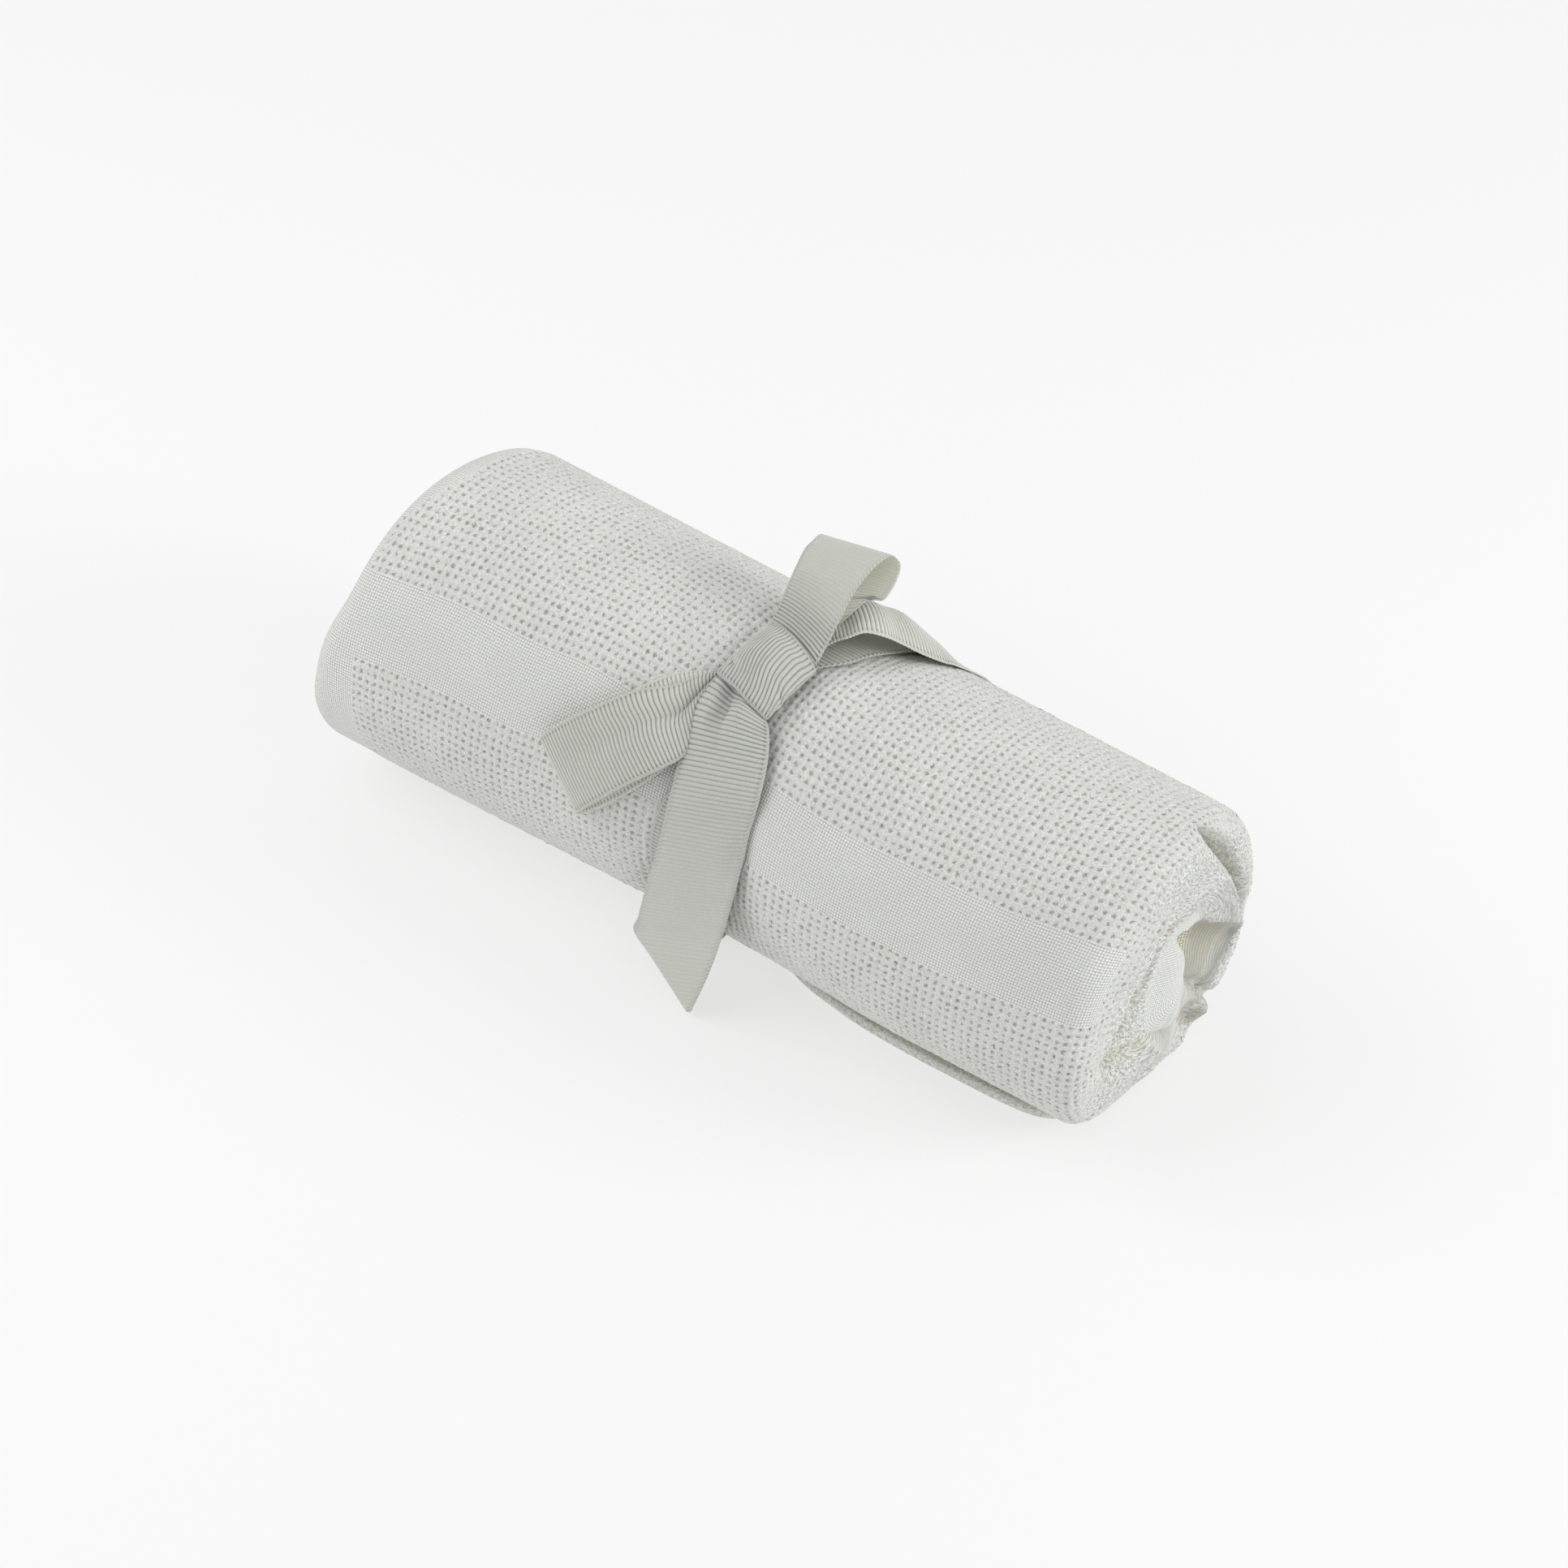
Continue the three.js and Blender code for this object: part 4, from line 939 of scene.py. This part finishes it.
print("building the cloth")
pieces = {}
for label, side in (("right", 1), ("left", -1)):
    for part, turns, spacing in cloth["patches"]:
        name = "cloth_" + part + "_" + label
        pieces[name] = clothPatch(name, turns, side, cloth[spacing])
pieces["cloth_end_right"] = endPiece("cloth_end_right", rightEnd, rightLines, 110, 481, 150)
pieces["cloth_end_left"] = endPiece("cloth_end_left", leftEnd, leftLines, 150, 361, 110)
pieces["cloth_loose_end"] = loosePiece("cloth_loose_end")

print("building the ribbon")
columns = np.array(ribbon["across"])
tapes = {"ribbon_front_tail": frontTail, "ribbon_left_loop": leftLoop, "ribbon_upper_loop": upperLoop,
         "ribbon_back_tail": backTail}
for name, rows in tapes.items():
    grid, ribs, length, cut = evenly(name, rows, columns)
    pieces[name] = tapePiece(name, grid, columns, ribs, cut=cut)
dense = np.concatenate([columns[:4], np.linspace(0.08, 0.92, 43), columns[-4:]])
grid, ribs, length = knotGrid(knotRows, dense)
pieces["ribbon_knot"] = tapePiece("ribbon_knot", grid, dense, ribs)
grid, ribs, length = bandGrid(columns)
pieces["ribbon_band"] = tapePiece("ribbon_band", grid, columns, ribs, closed=True)


print("mixing the materials")


def addNode(tree, kind, *inputs, **settings):
    node = tree.nodes.new(kind)
    for name, value in settings.items():
        setattr(node, name, value)
    for i, value in enumerate(inputs):
        if value is None:
            continue
        if isinstance(value, bpy.types.NodeSocket):
            tree.links.new(value, node.inputs[i])
        else:
            node.inputs[i].default_value = value
    return node


def calc(tree, operation, *inputs):
    return addNode(tree, "ShaderNodeMath", *inputs, operation=operation).outputs[0]


def plus(tree, first, *others):
    for other in others:
        first = calc(tree, "ADD", first, other)
    return first


def times(tree, first, *others):
    for other in others:
        first = calc(tree, "MULTIPLY", first, other)
    return first


def vector(tree, operation, *inputs):
    return addNode(tree, "ShaderNodeVectorMath", *inputs, operation=operation)


def split(tree, source):
    return addNode(tree, "ShaderNodeSeparateXYZ", source).outputs


def ramp(tree, value, low, high, toLow=0.0, toHigh=1.0):
    sockets = (value, low, high, toLow, toHigh)
    return addNode(tree, "ShaderNodeMapRange", *sockets, interpolation_type="SMOOTHSTEP").outputs[0]


def noise(tree, place, scale, detail=2.0, roughness=0.5):
    node = addNode(tree, "ShaderNodeTexNoise", place)
    for name, value in (("Scale", scale), ("Detail", detail), ("Roughness", roughness)):
        node.inputs[name].default_value = value
    return node.outputs[0]


def streaks(tree, place, across, around, detail, roughness):
    place = vector(tree, "MULTIPLY", place, (across, around, 1)).outputs[0]
    return noise(tree, place, 1.0, detail, roughness)


def group(name, inputs, outputs):  # each input and output is a value, but for the place
    tree = bpy.data.node_groups.new(name, "ShaderNodeTree")
    for labels, way in ((inputs, "INPUT"), (outputs, "OUTPUT")):
        for label in labels:
            kind = "NodeSocketVector" if label == "Place" else "NodeSocketFloat"
            tree.interface.new_socket(label, in_out=way, socket_type=kind)
    return tree, tree.nodes.new("NodeGroupInput"), tree.nodes.new("NodeGroupOutput")


weaveLook = {  # shades are added to 1, and sizes counted in cells
    "shift": 0.2,
    "ragged": 0.15,
    "hole": (0.05, 0.2),
    "holeChance": 0.09,
    "fine": 11.0,
    "long": 2.2,
    "yarn": (-0.12, 0.07),
    "fluff": (-0.16, 0.1),
    # painted highlights: small bright spots on the yarn
    "paintedGlint": 0.16,
    "loops": (-0.36, 0.16),
    "threads": 3,  # of the plain weave to a cell
    # painted shade in the gaps between the plain weave's threads
    "gapShade": (-0.42, 0.03),
    "plainFluff": (-0.09, 0.07),
    "crossing": 0.1,
}


def yarnGroup():  # cellular and plain weave from a place counted in cells
    tree, given, made = group("blanketWeave", ["Place", "Cell", "Fuzz"], ["Hole", "Shade", "Height"])
    place, cell, fuzz = given.outputs[:3]
    look = weaveLook
    shut = ramp(tree, fuzz, 0.0, 0.95, 1.0, 0.0)
    luck = addNode(tree, "ShaderNodeTexWhiteNoise", vector(tree, "FLOOR", place).outputs[0]).outputs[1]
    luck = vector(tree, "SUBTRACT", luck, (0.5, 0.5, 0.5)).outputs[0]
    aside = vector(tree, "MULTIPLY", luck, (look["shift"], look["shift"], 0)).outputs[0]
    part = vector(tree, "SUBTRACT", vector(tree, "FRACTION", place).outputs[0], (0.5, 0.5, 0)).outputs[0]
    away = vector(tree, "LENGTH", vector(tree, "ADD", part, aside).outputs[0]).outputs[1]
    ragged = ramp(tree, noise(tree, place, 4.6, 2.0, 0.6), 0.3, 0.7, -look["ragged"], look["ragged"])
    size = times(tree, split(tree, luck)[2], look["holeChance"])
    hole = ramp(tree, plus(tree, away, ragged, size), *look["hole"], 1.0, 0.0)
    hole = times(tree, hole, cell, shut)
    lengthwise = streaks(tree, place, look["long"], look["fine"], 1.0, 0.5)
    roundwise = streaks(tree, place, look["fine"], look["long"], 1.0, 0.5)
    u, v = (calc(tree, "ABSOLUTE", value) for value in split(tree, part)[:2])
    pick = ramp(tree, calc(tree, "SUBTRACT", u, v), -0.12, 0.12)
    yarn = addNode(tree, "ShaderNodeMix", pick, None, lengthwise, roundwise).outputs[0]
    fluff = noise(tree, place, 4.5, 4.0, 0.8)
    # Painted highlights as small bright spots on the yarn.
    paintedGlint = ramp(tree, noise(tree, place, 6.5, 1.0, 0.5), 0.56, 0.7)
    turn = look["threads"] * math.pi
    threads = split(tree, vector(tree, "MULTIPLY", place, (turn, turn, 0)).outputs[0])
    crossing = times(tree, *(calc(tree, "SINE", value) for value in threads[:2]))
    lumps = calc(tree, "SQRT", calc(tree, "ABSOLUTE", crossing))
    plain = plus(tree, times(tree, lumps, 0.75), times(tree, crossing, 0.3), times(tree, fluff, 0.5))
    cellular = plus(tree, times(tree, yarn, 0.9), times(tree, fluff, 1.2))
    cellular = calc(tree, "SUBTRACT", cellular, hole)
    height = addNode(tree, "ShaderNodeMix", cell, None, plain, cellular)
    loops = ramp(tree, noise(tree, place, 2.6, 2.0, 0.8), 0.38, 0.6, *look["loops"])
    uneven = ramp(tree, fluff, 0.34, 0.66, *look["fluff"])
    shadeCell = plus(tree, ramp(tree, yarn, 0.3, 0.7, *look["yarn"]), uneven,
                     times(tree, paintedGlint, look["paintedGlint"]), times(tree, loops, fuzz))
    uneven = ramp(tree, fluff, 0.34, 0.66, *look["plainFluff"])
    # Painted shade between the plain weave's threads.
    shadePlain = plus(tree, ramp(tree, lumps, 0.0, 0.75, *look["gapShade"]), uneven,
                      times(tree, crossing, look["crossing"]))
    shade = addNode(tree, "ShaderNodeMix", cell, None, shadePlain, shadeCell)
    for i, value in enumerate((hole, plus(tree, shade.outputs[0], 1.0), height.outputs[0])):
        tree.links.new(value, made.inputs[i])
    return tree


tapeLook = {
    # valley: painted shade in the rib valleys and painted light on their crests
    "valley": (-0.3, 0.07),
    "ends": (-0.05, 0.05),
    "fibre": (-0.03, 0.03),
    "selvage": (0.7, 1.2),  # from the edge, in mm
    "seam": 1.4,
    "seamShade": 0.16,
    "loopShade": 0.12,
}


def tapeGroup():  # ribs, selvages and their stitches from a place in ribs and millimetres
    tree, given, made = group("corded tape", ["Place", "Width", "Strong"], ["Shade", "Height"])
    place, width, strong = given.outputs[:3]
    look = tapeLook
    along, over = split(tree, place)[:2]
    rib = calc(tree, "ABSOLUTE", calc(tree, "SINE", times(tree, along, math.pi)))
    edge = calc(tree, "MINIMUM", over, calc(tree, "SUBTRACT", width, over))
    ends = streaks(tree, place, 0.6, 8.0, 2.0, 0.6)
    fibre = streaks(tree, place, 5.0, 5.0, 2.0, 0.6)
    selvage = ramp(tree, edge, *look["selvage"], 1.0, 0.0)
    seam = calc(tree, "ABSOLUTE", calc(tree, "SUBTRACT", edge, look["seam"]))
    seam = ramp(tree, seam, 0.15, 0.45, 1.0, 0.0)
    seam = times(tree, seam, ramp(tree, rib, 0.9, 0.4, 0.25, 1.0), strong)
    loops = calc(tree, "SINE", plus(tree, times(tree, along, 2 * math.pi), times(tree, over, 4.0)))
    loops = times(tree, selvage, loops)
    # Painted shade in the rib valleys and painted light on the crests.
    ribShade = times(tree, strong, ramp(tree, rib, 0.05, 0.7, *look["valley"]))
    shade = plus(tree, ribShade, ramp(tree, ends, 0.3, 0.7, *look["ends"]))
    shade = times(tree, shade, calc(tree, "SUBTRACT", 1.0, times(tree, selvage, 0.8)))
    fibre = ramp(tree, fibre, 0.3, 0.7, *look["fibre"])
    shade = plus(tree, shade, fibre, times(tree, loops, look["loopShade"]))
    shade = calc(tree, "SUBTRACT", shade, times(tree, seam, look["seamShade"]))
    height = plus(tree, times(tree, rib, strong), times(tree, ends, 0.35), times(tree, loops, 0.5))
    height = calc(tree, "SUBTRACT", height, times(tree, seam, 0.6))
    tree.links.new(plus(tree, shade, 1.0), made.inputs[0])
    tree.links.new(height, made.inputs[1])
    return tree


def useGroup(tree, made, *inputs):
    node = tree.nodes.new("ShaderNodeGroup")
    node.node_tree = made
    for i, value in enumerate(inputs):
        if isinstance(value, bpy.types.NodeSocket):
            tree.links.new(value, node.inputs[i])
        else:
            node.inputs[i].default_value = value
    return node


def mark(tree, name):
    return addNode(tree, "ShaderNodeAttribute", attribute_name=name).outputs["Fac"]


def mixed(tree, share, first, second, blend="MIX"):
    node = addNode(tree, "ShaderNodeMix", data_type="RGBA", blend_type=blend)
    for i, value in ((0, share), (6, first), (7, second)):
        if isinstance(value, bpy.types.NodeSocket):
            tree.links.new(value, node.inputs[i])
        else:
            node.inputs[i].default_value = value
    return node.outputs[2]


def tinted(tree, colour, shade):
    value = addNode(tree, "ShaderNodeCombineColor", shade, shade, shade).outputs[0]
    return mixed(tree, 1, colour, value, "MULTIPLY")


def startMaterial(name, roughness, sheen):
    material = bpy.data.materials.new(name)
    material.use_nodes = True
    tree = material.node_tree
    shader = tree.nodes["Principled BSDF"]
    shader.inputs["Roughness"].default_value = roughness
    shader.inputs["Sheen Weight"].default_value = sheen
    shader.inputs["Sheen Roughness"].default_value = 0.6
    shader.inputs["Specular IOR Level"].default_value = 0.25
    return material, tree, shader


def finishSurface(tree, shader, colour, height, distance):
    tree.links.new(colour, shader.inputs["Base Color"])
    bump = addNode(tree, "ShaderNodeBump")
    bump.inputs["Distance"].default_value = distance
    tree.links.new(height, bump.inputs["Height"])
    tree.links.new(bump.outputs[0], shader.inputs["Normal"])


clothLook = {
    "yarn": (0.87, 0.88, 0.835, 1),
    # deep: painted shade seen through the weave's holes
    "deep": (0.64, 0.635, 0.52, 1),
    # fold: painted warm shade for creases, hollows and the loose end's crease
    "fold": (0.9, 0.865, 0.715, 1),
    "roughness": 0.92,
    "sheen": 0.25,
    "bump": 0.0004,
    "patches": (38.0, 0.975, 1.02),
}


def clothMaterial():
    material, tree, shader = startMaterial("blanket cotton", clothLook["roughness"], clothLook["sheen"])
    place = addNode(tree, "ShaderNodeUVMap", uv_map="place").outputs[0]
    knit = useGroup(tree, yarnGroup(), place, mark(tree, "cell"), mark(tree, "fuzz"))
    spot = addNode(tree, "ShaderNodeTexCoord").outputs["Object"]
    scale, darker, lighter = clothLook["patches"]
    patchy = ramp(tree, noise(tree, spot, scale, 2.0, 0.5), 0.35, 0.65, darker, lighter)
    # Painted shade in the weave's holes.
    colour = mixed(tree, knit.outputs["Hole"], clothLook["yarn"], clothLook["deep"])
    # Painted warm shade in the creases, the hollows and under the roll's overhang.
    colour = mixed(tree, mark(tree, "paintedShade"), colour, clothLook["fold"])
    colour = tinted(tree, colour, times(tree, knit.outputs["Shade"], patchy))
    finishSurface(tree, shader, colour, knit.outputs["Height"], clothLook["bump"])
    return material


def ribbonMaterial():
    material, tree, shader = startMaterial("corded ribbon", ribbonLook["roughness"], ribbonLook["sheen"])
    place = addNode(tree, "ShaderNodeUVMap", uv_map="place").outputs[0]
    tape = useGroup(tree, tapeGroup(), place, ribbonLook["width"], mark(tree, "strong"))
    # Painted light: a lighter, warmer colour where light would come through the ribbon.
    colour = mixed(tree, mark(tree, "lit"), ribbonLook["yarn"], ribbonLook["light"])
    colour = tinted(tree, colour, tape.outputs["Shade"])
    finishSurface(tree, shader, colour, tape.outputs["Height"], ribbonLook["bump"])
    shader.inputs["Subsurface Weight"].default_value = ribbonLook["through"]
    shader.inputs["Subsurface Radius"].default_value = (1, 0.95, 0.8)
    shader.inputs["Subsurface Scale"].default_value = ribbonLook["reach"]
    return material


cotton, taped = clothMaterial(), ribbonMaterial()
for name, piece in pieces.items():
    isCloth = name.startswith("cloth")
    piece.data.materials.append(cotton if isCloth else taped)
    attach(piece, "root")
    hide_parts("blanket_roll" if isCloth else "ribbon_bow")

print("setting the floor, lights and camera")
stage = {"floor": (0.35, 0.35, 0.35, 1), "glow": 0.58, "world": 0.72, "key": 3.2, "fill": 7.4}
bpy.ops.object.select_all(action="DESELECT")
bpy.ops.mesh.primitive_plane_add(size=8, location=(0, 0, 0))
floor = bpy.context.object
floor.name = "floor"
paper, tree, shader = startMaterial("pale floor", 0.9, 0)
shader.inputs["Base Color"].default_value = stage["floor"]
shader.inputs["Emission Color"].default_value = (1, 1, 1, 1)
shader.inputs["Emission Strength"].default_value = stage["glow"]
floor.data.materials.append(paper)

world = bpy.data.worlds.new("studio")
world.use_nodes = True
world.node_tree.nodes["Background"].inputs["Color"].default_value = (1, 1, 1, 1)
world.node_tree.nodes["Background"].inputs["Strength"].default_value = stage["world"]
bpy.context.scene.world = world


def areaLight(name, place, size, power):
    light = bpy.data.lights.new(name, "AREA")
    light.shape = "DISK"
    light.size = size
    light.energy = power
    lamp = bpy.data.objects.new(name, light)
    lamp.location = place
    aim = Vector((0, 0, 0.05)) - Vector(place)
    lamp.rotation_euler = aim.to_track_quat("-Z", "Y").to_euler()
    bpy.context.scene.collection.objects.link(lamp)
    return lamp


areaLight("key", (-0.6, -0.4, 0.8), 0.9, stage["key"])
areaLight("fill", (1.2, 0.45, 0.6), 0.6, stage["fill"])

view = {
    "azimuth": 35.7,
    "elevation": 45.1,
    "distance": 1059.6,
    "aside": 1.41,
    "above": 3.04,
    "height": 50.45,
    "lens": 83.03,
}
turnBy, liftBy = math.radians(view["azimuth"]), math.radians(view["elevation"])
right = Vector((math.cos(turnBy), math.sin(turnBy), 0))
lean = math.sin(liftBy)
upward = Vector((-math.sin(turnBy) * lean, math.cos(turnBy) * lean, math.cos(liftBy)))
backward = right.cross(upward)
spot = backward * view["distance"] - right * view["aside"] - upward * view["above"]
spot += Vector((*standsAt, view["height"]))
lens = bpy.data.cameras.new("camera")
lens.sensor_width = 36
lens.lens = view["lens"]
camera = bpy.data.objects.new("camera", lens)
facing = Matrix((right, upward, backward)).transposed().to_4x4()
camera.matrix_world = Matrix.Translation(spot / 1000) @ facing
bpy.context.scene.collection.objects.link(camera)
bpy.context.scene.camera = camera
bpy.context.scene.view_settings.view_transform = "Standard"

print("faces", sum(len(piece.data.polygons) for piece in pieces.values()))
